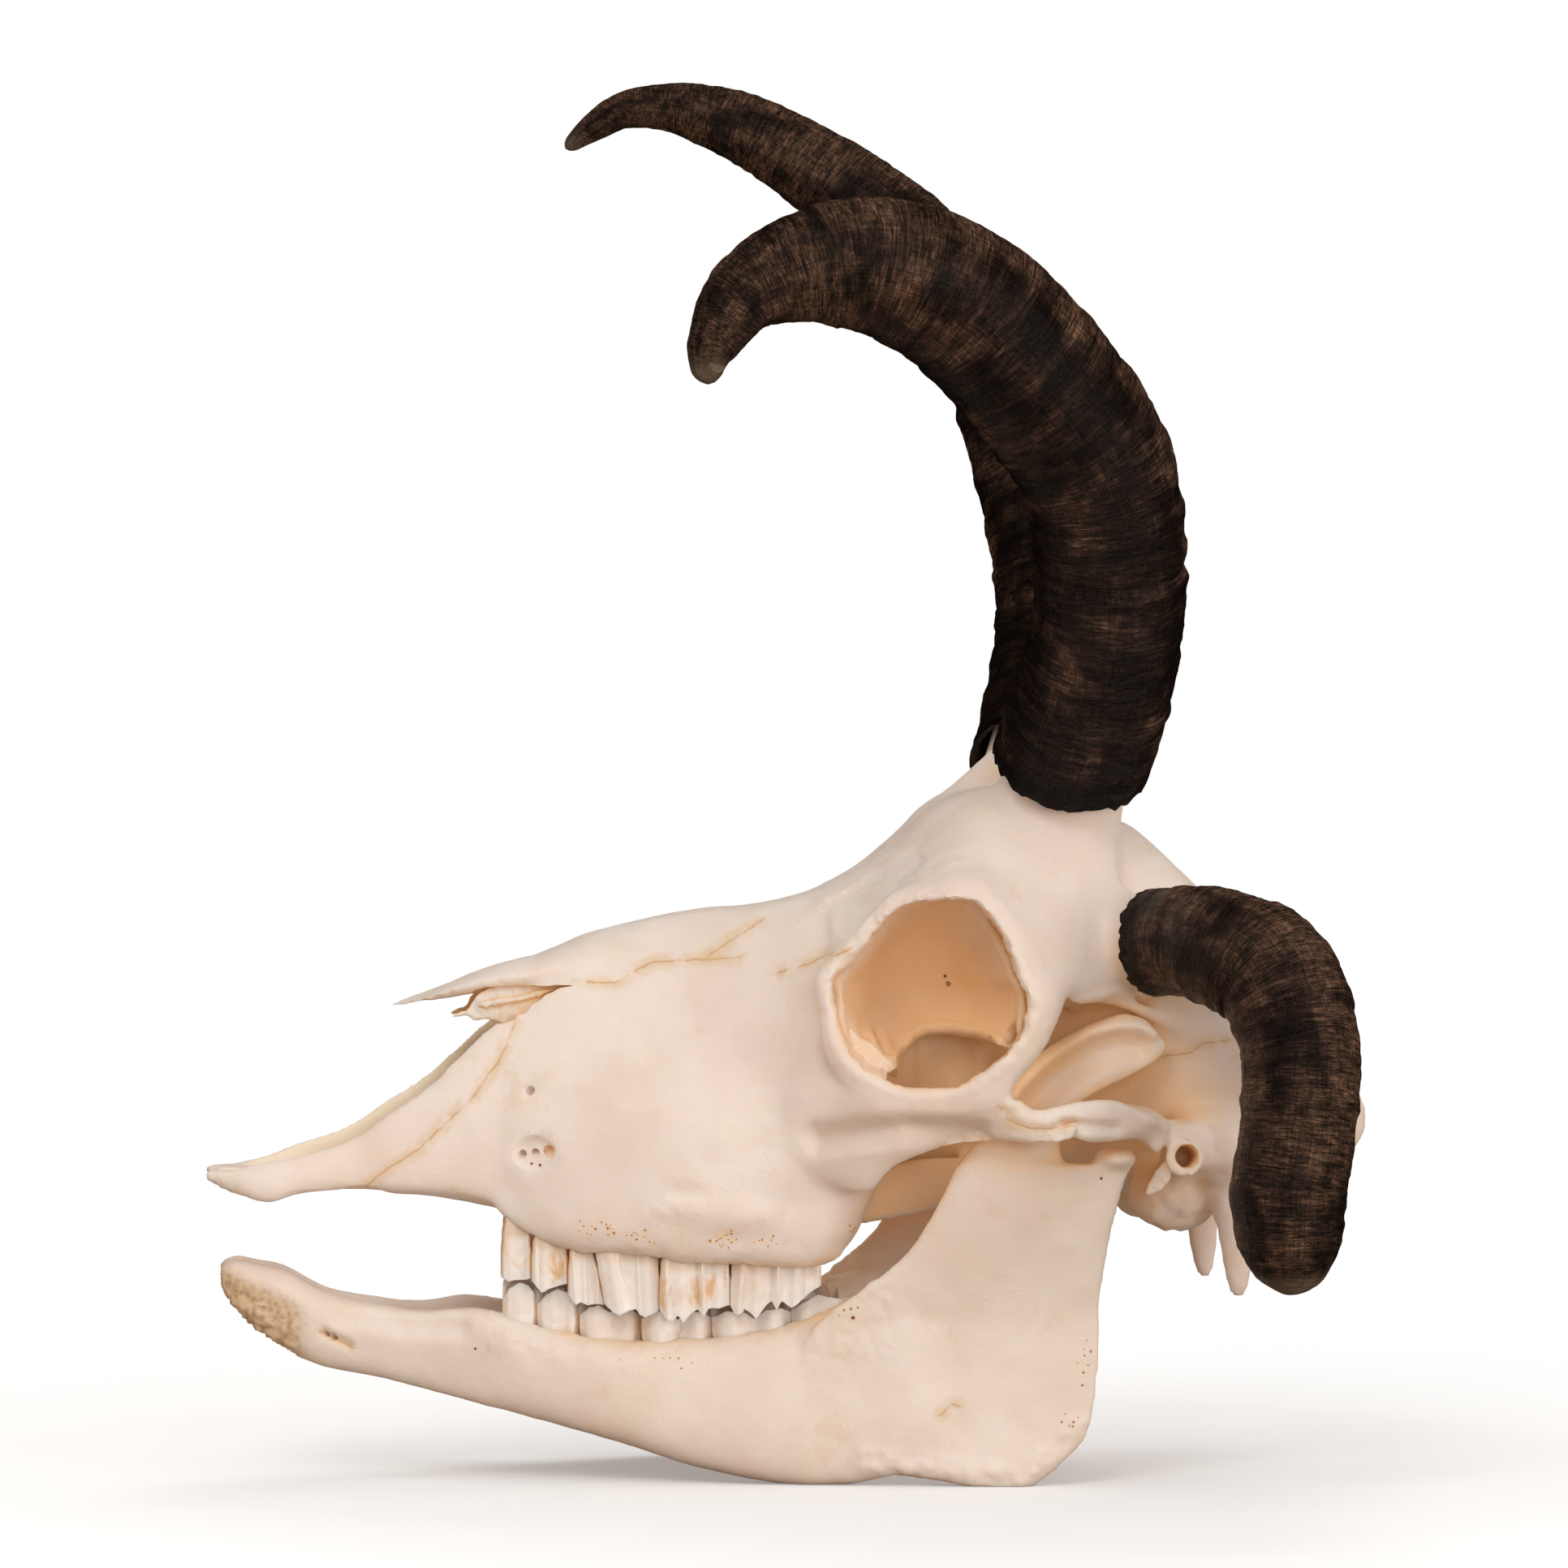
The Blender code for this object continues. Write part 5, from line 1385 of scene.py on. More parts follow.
JAW_HOLES = (
    (-69.0, 28.6, (0.2, 1.0, 0.1), 0.35), (-101.2, 31.2, (1.0, 1.0, -0.3), 0.7),
    (-99.6, 30.5, (1.0, 1.0, -0.3), 0.9), (65.2, 66.5, (0.0, 1.0, 0.0), 0.35),
    (12.3, 36.0, (0.0, 1.0, 0.2), 0.5),
)
LOWER_PORES = (
    (62.0, 26.0, 1.4, 6.0, 9), (58.5, 14.0, 2.0, 3.5, 7), (11.0, 37.4, 3.4, 1.0, 8),
    (-30.0, 26.5, 12.0, 1.6, 7),
)
JAW_TRIANGLES = 78000
JAW_VOXEL = 0.7


def on_chin(clay, fade_x, fade_slope):
    """1 on the broken front of the jaw, falling to 0 over a short way behind it."""
    return held(clay.x, -104, fade_x) * held(clay.z + 0.5 * clay.x, -14, fade_slope)


def work_jaw(clay):
    """Moves the points of a jaw half as growth, muscle and wear did."""
    clay.push(clay.lumps((0.26, 15, 21), (0.13, 5, 22), (0.04, 2, 23)))
    # The blade has a thick rolled upper edge, and its outer face is dished under it.
    outer = (clay.outward > -0.1) * (clay.depth < -38) * np.sign(clay.y)
    rolled_edge = 1.6 * clay.groove(BLADE_RIM, 2.2, -1.0, 30) ** 0.6
    clay.points[:, Y] += outer * (rolled_edge - 2.2 * clay.groove(BLADE_FACE, 5.0, -1.0, 30))
    clay.write()
    clay.push(clay.groove(ANGLE_RIDGE, 4.5, 0.0, 20) * (0.5 + clay.lumps((0.55, 2.8, 24), (0.3, 1.2, 25))))
    clay.push(-0.9 * clay.groove(BODY_BAND, 4.0, 0.0, 4))
    clay.push(-1.0 * clay.groove(JAW_LINES["lip_slit"], 1.6, 0.0, 3))
    clay.push(1.0 * clay.near((-98, -16, 19.8), (9, 9, 3.2), 0.0))
    # Lumps over the tooth roots and a granular ledge behind the last tooth.
    gum = held(clay.z, 25, 29) * (clay.x > -66) * (clay.x < 20)
    clay.push(gum * clay.lumps((0.3, 3.4, 26), (0.2, 1.4, 27)))
    clay.push(clay.near((13, -32, 41), (6, 7, 4), 0.3) * clay.lumps((0.5, 1.5, 28)))
    # The open chin: sharp pits and ragged edges.
    pits = np.abs(clay.lumps((0.9, 1.9, 29))) + np.abs(clay.lumps((0.63, 1.1, 30)))
    clay.push(on_chin(clay, -112, -20) * (pits - 1.0))


def block(name, low, high):
    """A box between two corners in millimetres."""
    low, high = Vector(low), Vector(high)
    bpy.ops.mesh.primitive_cube_add(size=MM)
    return settled(name, high - low, (low + high) / 2)


def make_jaw(side):
    forms = [
        rolled("body", blade_rings(JAW_BODY, side, squareness=0.7)),
        rolled("ramus", blade_rings(RAMUS, side)),
        rolled("blade", blade_rings(CORONOID, side)),
        ball("joint_head", JAW_JOINT_HEAD, side),
    ]
    jaw = joined("jaw_bone_" + WORDS[side], forms)
    fuse(jaw, JAW_VOXEL, 10)
    one_skin(jaw)
    work_jaw(Clay(jaw))
    thin_out(jaw, JAW_TRIANGLES)
    drill = Drill(jaw, 12)
    for hole in JAW_HOLES:
        drill.hole(*hole, side, 2.6)
    drill.pores(LOWER_PORES, side)
    drill.cut()
    inner, outer = sorted((CHIN_GAP * side, -40 * side))
    near, far = sorted((0, 70 * side))
    for cutter in (
        rolled("sockets", socket_rings(LOWER_TEETH, side, -1)),
        block("chin_cut", (-150, inner, -10), (-70, outer, 70)),
        block("ground_cut", (-60, near, -20), (100, far, 0)),
    ):
        combine(jaw, cutter, "DIFFERENCE")
    smoothed_by_angle(jaw)
    clay = Clay(jaw)
    store_lines(jaw, clay, JAW_LINES)
    store(jaw, "spongy", on_chin(clay, -110, -19))
    report(jaw.name, triangles(jaw))
    return jaw


jaws = {side: make_jaw(side) for side in BOTH_SIDES}

bones = [cranium, *jaws.values()]
trees = [BVHTree.FromObject(bone, bpy.context.evaluated_depsgraph_get()) for bone in bones]
for bone, own in zip(bones, trees):
    # Its own tree first, because most rays end there.
    store(bone, "closed_in", closed_in(bone, sorted(trees, key=lambda tree: tree is not own)))
report("hollows measured")

# %% [markdown]
# A sheep's cheek tooth is a tall prism. Its outer face carries upright ribs with hollows between them, its
# inner face round lobes, and chewing has left a jagged edge with a hollow worn face behind it. Every tooth is
# a rolled grid: its rings run from the root in the bone to the edge, and then in over the chewing face.

# %% Tooth edges and ribs
# The biting edge of each tooth's outer face in side view, from front to rear.
UPPER_EDGES = {
    "premolar_1": ((-63.0, 43.9), (-61.9, 43.2), (-60.5, 43.5), (-58.6, 43.5), (-56.9, 43.9)),
    "premolar_2": ((-56.5, 43.2), (-55.9, 42.4), (-54.6, 40.8), (-53.2, 41.7), (-51.2, 42.2), (-49.0, 42.9)),
    "premolar_3": (
        (-48.6, 40.3), (-48.0, 39.1), (-47.2, 38.3), (-46.2, 38.9), (-44.6, 38.2), (-43.2, 38.6),
        (-42.0, 38.4),
    ),
    "molar_1": (
        (-41.6, 39.2), (-39.6, 37.2), (-38.0, 36.3), (-36.4, 37.0), (-34.3, 37.5), (-33.4, 36.3),
        (-32.4, 35.8), (-31.0, 36.4), (-29.3, 37.2),
    ),
    "molar_2": (
        (-28.9, 37.2), (-28.1, 35.8), (-26.5, 35.0), (-25.3, 36.4), (-24.2, 34.6), (-22.6, 36.6),
        (-21.1, 37.6), (-19.7, 36.2), (-18.6, 37.8), (-16.5, 37.8), (-14.1, 38.5),
    ),
    "molar_3": (
        (-13.7, 38.2), (-13.2, 36.7), (-12.1, 36.5), (-11.1, 37.8), (-9.8, 37.0), (-8.4, 35.5), (-6.1, 38.5),
        (-5.0, 39.3), (-3.9, 37.3), (-2.9, 39.4), (-0.5, 37.8), (1.4, 39.4), (3.2, 41.0), (5.7, 42.6),
    ),
}
LOWER_EDGES = {
    "premolar_1": ((-62.6, 39.6), (-61.6, 41.6), (-59.4, 42.9), (-57.6, 42.4), (-56.3, 40.9), (-55.6, 39.2)),
    "premolar_2": ((-55.2, 38.4), (-53.4, 40.4), (-51.2, 41.5), (-49.0, 40.8), (-47.4, 39.2), (-46.4, 37.8)),
    "premolar_3": (
        (-46.0, 36.0), (-44.3, 37.6), (-42.2, 38.0), (-39.8, 36.6), (-37.6, 37.6), (-35.2, 37.4),
        (-33.0, 35.6),
    ),
    "molar_1": (
        (-32.6, 35.2), (-30.5, 36.9), (-27.8, 37.0), (-25.0, 35.0), (-22.0, 36.9), (-19.8, 36.6),
        (-17.8, 35.4),
    ),
    "molar_2": (
        (-17.4, 35.4), (-14.6, 36.9), (-11.1, 36.9), (-8.5, 35.2), (-5.8, 37.2), (-2.6, 37.5), (-0.6, 36.6),
    ),
    "molar_3": ((-0.2, 37.0), (2.6, 39.0), (5.4, 40.4), (9.0, 39.6), (12.0, 39.6), (15.0, 38.6)),
}
# Ribs of the outer face: x at the gum, x at the edge, half width and height; a negative height is a furrow.
UPPER_RIBS = {
    "premolar_1": ((-61.3, -61.1, 1.7, 0.5), (-57.7, -57.5, 0.5, 0.35)),
    "premolar_2": ((-55.8, -55.7, 0.6, 0.5), (-53.5, -54.0, 1.6, 0.7), (-49.5, -49.4, 0.45, 0.5)),
    "premolar_3": (
        (-48.3, -47.2, 0.6, 0.6), (-45.6, -45.4, 0.35, 0.25), (-44.2, -44.2, 0.4, 0.3),
        (-42.5, -42.4, 0.5, 0.6),
    ),
    "molar_1": (
        (-40.9, -37.6, 2.3, 1.2), (-41.6, -39.6, 0.5, 0.5), (-36.8, -36.0, 0.8, -1.9),
        (-34.3, -33.4, 0.5, 0.6), (-32.4, -31.6, 2.0, 0.9), (-29.7, -29.6, 0.4, 0.4),
    ),
    "molar_2": (
        (-28.2, -27.4, 0.6, 0.8), (-24.6, -24.3, 2.2, 0.7), (-20.4, -19.7, 0.75, 1.5),
        (-16.6, -16.6, 1.0, 0.3), (-14.5, -14.4, 0.45, 0.6),
    ),
    "molar_3": (
        (-10.8, -12.3, 0.9, 1.7), (-8.0, -8.4, 1.3, 0.5), (-3.5, -3.9, 0.7, 1.4), (0.4, 0.0, 0.8, 0.5),
        (2.6, 2.4, 0.4, 0.3), (5.3, 5.2, 0.5, 0.4),
    ),
}
LOWER_RIBS = {
    "premolar_1": ((-59.4, -59.4, 2.6, 0.9),),
    "premolar_2": ((-51.9, -51.8, 2.2, 0.9), (-48.0, -48.1, 1.2, 0.6)),
    "premolar_3": ((-42.6, -42.6, 2.4, 1.1), (-36.4, -36.2, 2.2, 1.1)),
    "molar_1": ((-28.8, -28.8, 2.7, 1.5), (-21.2, -21.0, 2.5, 1.5)),
    "molar_2": ((-12.9, -12.9, 3.2, 1.6), (-4.4, -4.2, 2.8, 1.6)),
    "molar_3": ((2.8, 3.2, 2.4, 1.4), (9.0, 9.2, 2.4, 1.4), (13.4, 13.4, 1.2, 0.9)),
}
# Slanting borders between neighbours: how far each end moves at the gum and at the edge.
SLANTS = {"upper premolar_3": ((0, 0), (-1.5, 1.0)), "upper molar_1": ((-1.7, 0.8), (0, 0))}
STRAIGHT = ((0, 0), (0, 0))
# How strongly each tooth is stained.
UPPER_STAINS = {
    "premolar_1": 0.5,
    "premolar_2": 0.8,
    "premolar_3": 0.1,
    "molar_1": 0.35,
    "molar_2": 1.0,
    "molar_3": 0.35,
}
LOWER_STAINS = {
    "premolar_1": 0.4,
    "premolar_2": 0.4,
    "premolar_3": 0.5,
    "molar_1": 0.6,
    "molar_2": 0.8,
    "molar_3": 0.7,
}
ROWS = {
    "upper": (1, UPPER_TEETH, UPPER_EDGES, UPPER_RIBS, UPPER_STAINS),
    "lower": (-1, LOWER_TEETH, LOWER_EDGES, LOWER_RIBS, LOWER_STAINS),
}

# %% Cheek teeth
OUTER_POINTS, END_POINTS, INNER_POINTS = 52, 7, 26
CROWN_RINGS = 26
RIB_ROOM = 1.5
CHEWING_INSETS = (0.10, 0.26, 0.45, 0.66, 0.86)
TOOTH_EDGE_ANGLE = math.radians(45)


def hump(values, middle, half):
    """A bell curve."""
    return np.exp(-(((values - middle) / half) ** 2))


def ribs_at(x, level, ribs):
    """Relief of the outer face at places along the tooth."""
    relief = np.zeros_like(x)
    for x_gum, x_edge, half, height in ribs:
        swell = height * hump(x, x_gum + (x_edge - x_gum) * level, half)
        relief = np.maximum(relief, swell) if height > 0 else relief + swell * (1 - held(level, 0.42, 0.66))
    return relief


def tooth_rings(row, side, jaw, seed):
    """Rings from the root over the edge into the chewing face, and how far along the crown each one is."""
    name, first, last, gum, _, edge_in, outer, inner = row
    away, _, edges, ribs, _ = ROWS[jaw]
    edge_x, edge_z = np.array(edges[name]).T
    top = gum + away * ROOT_LENGTH
    share = np.linspace(0, 1, OUTER_POINTS)
    end = np.linspace(0, 1, END_POINTS + 2)[1:-1]
    lobes = 1 if name.startswith("premolar") else 2
    inner_share = np.linspace(1, 0, INNER_POINTS)
    corner = np.concatenate([share, np.ones(END_POINTS), inner_share, np.zeros(END_POINTS)])
    across = np.concatenate([np.zeros(OUTER_POINTS), end, np.ones(INNER_POINTS), end[::-1]])
    # The ends bulge a little between the corners, and the inner side is parted into lobes.
    bulge = 0.25 * np.sin(np.pi * across) * np.where(corner == 0, -1, 1) * (across > 0) * (across < 1)
    lobe = 0.5 + 0.5 * np.cos(2 * np.pi * lobes * corner)
    width, depth = (0.09, 0.6) if jaw == "upper" else (0.17, 1.5)
    rounding = depth * (held(corner, width, 0.0) ** 2 + held(corner, 1 - width, 1.0) ** 2)
    front_slant, rear_slant = SLANTS.get(f"{jaw} {name}", STRAIGHT)
    rings, levels = [], []
    steps = [(level, 0.0) for level in np.linspace(0, 1, CROWN_RINGS) ** 0.85]
    steps += [(1.0, inset) for inset in CHEWING_INSETS]
    for level, inset in steps:
        root = 1 - held(level, 0.18, 0.42)
        pinch = 0.6 * root + 0.10 * hump(level, 0.46, 0.12) - 0.14 * held(level, 0.5, 0.65)
        start = first + pinch + np.interp(level, (0.3, 1), front_slant)
        stop = last - pinch + np.interp(level, (0.3, 1), rear_slant)
        x = start + (stop - start) * corner + bulge
        relief = ribs_at(x, level, ribs[name]) * (1 - 0.75 * root)
        y_out = outer - ROOT_INSET * root - RIB_ROOM * (1 - root) + relief - rounding
        y_in = inner + ROOT_INSET * root + 1.1 * lobe * (1 - root)
        y = y_out + (y_in - y_out) * across
        z_out = np.interp(x, edge_x, edge_z)
        z_in = edge_in + away * (0.9 * lobe - 0.5)
        z_edge = z_out + (z_in - z_out) * held(across, 0, 1)
        if side == RIGHT and jaw == "lower":
            # The last lobe of the right lower row is worn low.
            z_edge = z_edge - 3.4 * held(x, 7.0, 10.5)
        z = top + (z_edge - top) * level
        if inset:
            # Towards the middle of the chewing face, which has a hollow and a ridge.
            ridge = 0.7 * hump(inset, 0.66, 0.14) - 1.5 * hump(inset, 0.36, 0.2)
            x = x + ((first + last) / 2 - x) * 0.72 * inset
            y = y + ((outer - RIB_ROOM + inner) / 2 - y) * inset
            z = z + ((edge_z.mean() + edge_in) / 2 - z) * held(inset, 0.1, 0.9) - away * ridge
        rings.append(np.column_stack([x, y * side, z]))
        levels.append(level + inset)
    rings = np.array(rings)
    flat = rings.reshape(-1, 3)
    worn = np.repeat(held(np.array(levels), 0.25, 0.5), rings.shape[1])
    flat[:, Y] += side * worn * lumps(flat, (0.10, 2.6, seed), (0.05, 0.8, seed + 1))
    flat[:, Z] += worn * lumps(flat, (0.12, 0.7, seed + 2))
    return rings, levels


def make_tooth(row, side, jaw, seed):
    rings, levels = tooth_rings(row, side, jaw, seed)
    node = f"{jaw}_{WORDS[side]}_{row[0]}"
    tooth = rolled("enamel_" + node, rings, levels)
    bpy.ops.object.shade_smooth_by_angle(angle=TOOTH_EDGE_ANGLE)
    clay = Clay(tooth)
    _, _, _, ribs, stains = ROWS[jaw]
    furrow = 1 - np.clip(ribs_at(clay.x, 0.7, ribs[row[0]]) / 0.7, 0, 1)
    store(tooth, "stain", stains[row[0]] * (0.35 + 0.65 * furrow))
    # Painted bounce light on the end faces, where neighbouring teeth meet.
    store(tooth, "painted_gap_bounce", held(np.abs(clay.normals[:, X]), 0.78, 1.0))
    return node, tooth


teeth = {}
for side in BOTH_SIDES:
    for jaw, first_seed in (("upper", 60), ("lower", 40)):
        for i, row in enumerate(ROWS[jaw][1]):
            # The foremost teeth of the far side are a little shorter.
            if side == RIGHT and i == 0:
                row = (row[0], row[1] + 1.4, *row[2:])
            node, tooth = make_tooth(row, side, jaw, first_seed + 3 * i + side)
            teeth[node] = tooth
report(len(teeth), "teeth of", triangles(tooth), "triangles")

# %% [markdown]
# The horns are hollow sheaths of keratin. New horn is added at the mouth, so that each year leaves strong
# steps and each week a fine ring, and the fibres that it is made of run along. The surface is computed ring
# by ring on a rolled grid that goes down the bore, over the thin rim and up the outside to the tip.

# %% Horn sheaths
HORN_SIDES = 88
RING_SPACING = 0.45
BORE_SPACING = 3.0
# The strong steps of each horn: how far along, how high and how wide, in millimetres.
LEFT_STEPS = (
    (15, 0.35, 1.6), (25, 0.30, 1.6), (43, 0.8, 1.4), (50, 0.30, 1.6), (57, 0.35, 2.0), (69, 0.25, 2.0),
    (82, 0.40, 2.2), (96, 0.25, 2.2), (112, 0.30, 2.6), (131, 0.2, 2.4), (150, 0.2, 2.2),
)
RIGHT_STEPS = (
    (14, 0.45, 1.8), (24, 0.35, 1.8), (35, 0.45, 2.0), (47, 0.35, 2.0), (60, 0.45, 2.4), (74, 0.35, 2.2),
    (90, 0.4, 2.4), (108, 0.3, 2.2), (128, 0.3, 2.2),
)
LATERAL_STEPS = (
    (10, 0.35, 1.6), (19, 0.25, 1.6), (31, 0.35, 2.0), (46, 0.3, 2.0), (66, 0.35, 2.2), (86, 0.3, 2.0),
)


def evenly(rows, spacing):
    """Points of a curve at even distances, with the distance at each."""
    fine = eased(rows, 60)
    gone = np.concatenate([[0], np.cumsum(np.linalg.norm(np.diff(fine[:, :3], axis=0), axis=1))])
    at = np.linspace(0, gone[-1], int(gone[-1] / spacing) + 1)
    return np.column_stack([np.interp(at, gone, fine[:, i]) for i in range(fine.shape[1])]), at


def horn_relief(at, turn, radius, length, steps, seed):
    """How far the surface of one ring stands out from the smooth horn, in millimetres."""
    c, s = np.cos(turn), np.sin(turn)

    def pattern(*layers):
        """Noise on the horn, with layers of height, lump size round it, lump size along it and number."""
        total = 0
        for height, around_size, along_size, number in layers:
            along = np.full(len(turn), at / along_size)
            place = np.column_stack([c * radius / around_size, s * radius / around_size, along])
            total = total + height * noise(place, 1.0, seed + number)
        return total

    # Broad swellings, rings, rings broken into lumps near the mouth, and fibres.
    relief = pattern((0.55, 26, 34, 1), (0.22, 10, 9, 2), (0.17, 12, 1.7, 3), (0.10, 6, 0.9, 4))
    relief = relief + (0.25 + 0.75 * held(at, 75, 25)) * pattern((0.26, 5.0, 1.9, 9), (0.16, 2.0, 1.1, 10))
    relief = relief + pattern((0.13, 1.0, 18, 5), (0.07, 0.55, 9, 6))
    wander = pattern((1.6, 20, 60, 7), (0.5, 6, 20, 8))
    near_tip = held(at, length, length * 0.8)
    for place, height, width in steps:
        off = at - place + wander
        relief = relief + height * near_tip * (hump(off, 0, width) - 0.6 * hump(off, 1.6 * width, width))
    return relief * held(at, -2.0, 3.0) * np.clip(radius / 8.0, 0.15, 1.0)


def horn_rings(horn, side, drop, steps, seed, flare, tip_length, start):
    """Rings down the bore and up the outside, and how far along each one is."""
    rows, at = evenly(horn, RING_SPACING)
    rows, at = rows[at >= start], at[at >= start] - start
    length = at[-1]
    points = rows[:, :3] * (1, side, 1)
    frames = carried_frames(points)
    turn = np.arange(HORN_SIDES) * 2 * np.pi / HORN_SIDES
    c, s = np.cos(turn), np.sin(turn)
    low_side = unit(np.array(drop[:3]) * (1, side, 1))
    fade_length = np.linalg.norm(np.diff(eased(horn, 2)[:5, :3], axis=0), axis=1).sum()

    def ring(i, radius):
        """A ring that hangs lower on one side near the mouth, and the ways outwards."""
        tangent, across, up = frames[i]
        out = np.outer(c, across) + np.outer(s, up)
        dropped = (out @ low_side) * drop[3] * max(0.0, 1.0 - at[i] / fade_length)
        return points[i] + out * radius - np.outer(dropped, tangent), out

    rings, lengths = [], []
    hollow_end = int(len(rows) * (CORE_SHARE + 0.08))
    for i in range(hollow_end, 0, -int(BORE_SPACING / RING_SPACING)):
        rings.append(ring(i, bore_radius(rows[i, 3], i / hollow_end))[0])
        lengths.append(-at[i])
    # The rim is ragged over its first rings.
    ragged = 0.8 * noise(np.column_stack([c * 9, s * 9, c * 0]), 1.0, seed + 20)
    ragged += 0.5 * noise(np.column_stack([c * 24, s * 24, c * 0]), 1.0, seed + 21)
    for i in range(len(rows)):
        placed, out = ring(i, rows[i, 3] + flare * np.exp(-at[i] / 3.5))
        to_tip = length - at[i]
        if to_tip < tip_length:
            round_off = math.sqrt(max(0.0, 1 - (1 - to_tip / tip_length) ** 2))
            placed = points[i] + (placed - points[i]) * max(round_off, 0.06)
        placed = placed + out * horn_relief(at[i], turn, rows[i, 3], length, steps, seed)[:, None]
        rings.append(placed + np.outer(ragged * max(0, 1 - i / 12), frames[i][0]))
        lengths.append(at[i])
    return np.array(rings), lengths, length


def make_horn(name, horn, side, drop, steps, seed, flare, tip_length, start):
    rings, lengths, length = horn_rings(horn, side, drop, steps, seed, flare, tip_length, start)
    obj = rolled(name, rings, lengths)
    bpy.ops.object.shade_smooth()
    clay = Clay(obj)
    # Painted highlight: faces that look up and back, where the light from above falls, are made browner.
    store(obj, "painted_top_highlight", held(clay.normals[:, Z] * 0.85 + clay.normals[:, X] * 0.5, 0.35, 0.95))
    report(obj.name, triangles(obj), "triangles,", round(length), "mm long")
    return obj


def chip(obj, place, size, turns, along):
    """Breaks a small piece out of a horn. The broken face is laid out at this place along it."""
    bpy.ops.object.select_all(action="DESELECT")
    bpy.ops.mesh.primitive_ico_sphere_add(subdivisions=2, radius=MM)
    cutter = settled("chip", size, place, turns)
    layout = cutter.data.uv_layers[0]
    layout.name = obj.data.uv_layers[0].name
    layout.data.foreach_set("uv", np.tile((0.5, along), len(layout.data)))
    combine(obj, cutter, "DIFFERENCE")


# The two lateral horns are not quite alike: the far one hangs a little less deep.
FAR_BEND_HEIGHT, FAR_SHORTENING = 96.0, 0.90
far_line = np.array(LATERAL_HORN)
below = np.minimum(far_line[:, Z] - FAR_BEND_HEIGHT, 0.0)
far_line[:, Z] -= below * (1 - FAR_SHORTENING)
far_line[:, X] -= below * 0.05
# Line, side, way and depth of the low edge of the mouth, steps, seed, flare, length of the tip and start.
HORNS = {
    "upper_horn_left": ("upper_left", UPPER_LEFT_HORN, 1, (-0.25, -1, 0, 8.8), LEFT_STEPS, 60, 0.2, 2.6, 3.6),
    "upper_horn_right": ("upper_right", UPPER_RIGHT_HORN, 1, (-0.1, 1, 0, 6.5), RIGHT_STEPS, 90, 0.5, 2.2, 3.4),
    "lateral_horn_left": ("lateral_left", LATERAL_HORN, LEFT, (0, 0, 1, 0), LATERAL_STEPS, 119, 0.4, 4.0, 0.0),
    "lateral_horn_right": ("lateral_right", far_line, RIGHT, (0, 0, 1, 0), LATERAL_STEPS, 121, 0.4, 4.0, 0.0),
}
horns = {}
for node, (name, *numbers) in HORNS.items():
    horns[node] = make_horn("horn_sheath_" + name, *numbers)
# The tip of the left upper horn is chipped.
chip(horns["upper_horn_left"], (-18.6, -81.0, 238.2), (3.4, 2.6, 1.3), (20, 28, 0), 195)
report("horns made")

# %% [markdown]
# Bone is cream with a pink or yellow cast that changes slowly, and finely grained. Its colour comes from mixes
# of close creams by noise. The stored values tint the joints and add painted bounce light in the hollows,
# painted shade with some grease under the eye sockets, and painted light through the thin bone at the front of
# the nose.

# %% Bone finish
PINK_CREAM = (0.80, 0.655, 0.57)
PALE_CREAM = (0.86, 0.745, 0.66)
YELLOW_CREAM = (0.80, 0.655, 0.51)
HOLLOW_TAN = (0.93, 0.63, 0.36)
JOINT_BROWN = (0.66, 0.37, 0.16)
FAT_YELLOW = (0.72, 0.50, 0.26)


def layered(paint, colour, *layers):
    """A colour with others over it, each given by its factor and colour."""
    for factor, over in layers:
        colour = paint.blend(factor, colour, over)
    return colour


def soft_light(weight, radius, scale):
    """How light spreads under the surface."""
    return {"Subsurface Weight": weight, "Subsurface Radius": radius, "Subsurface Scale": scale}


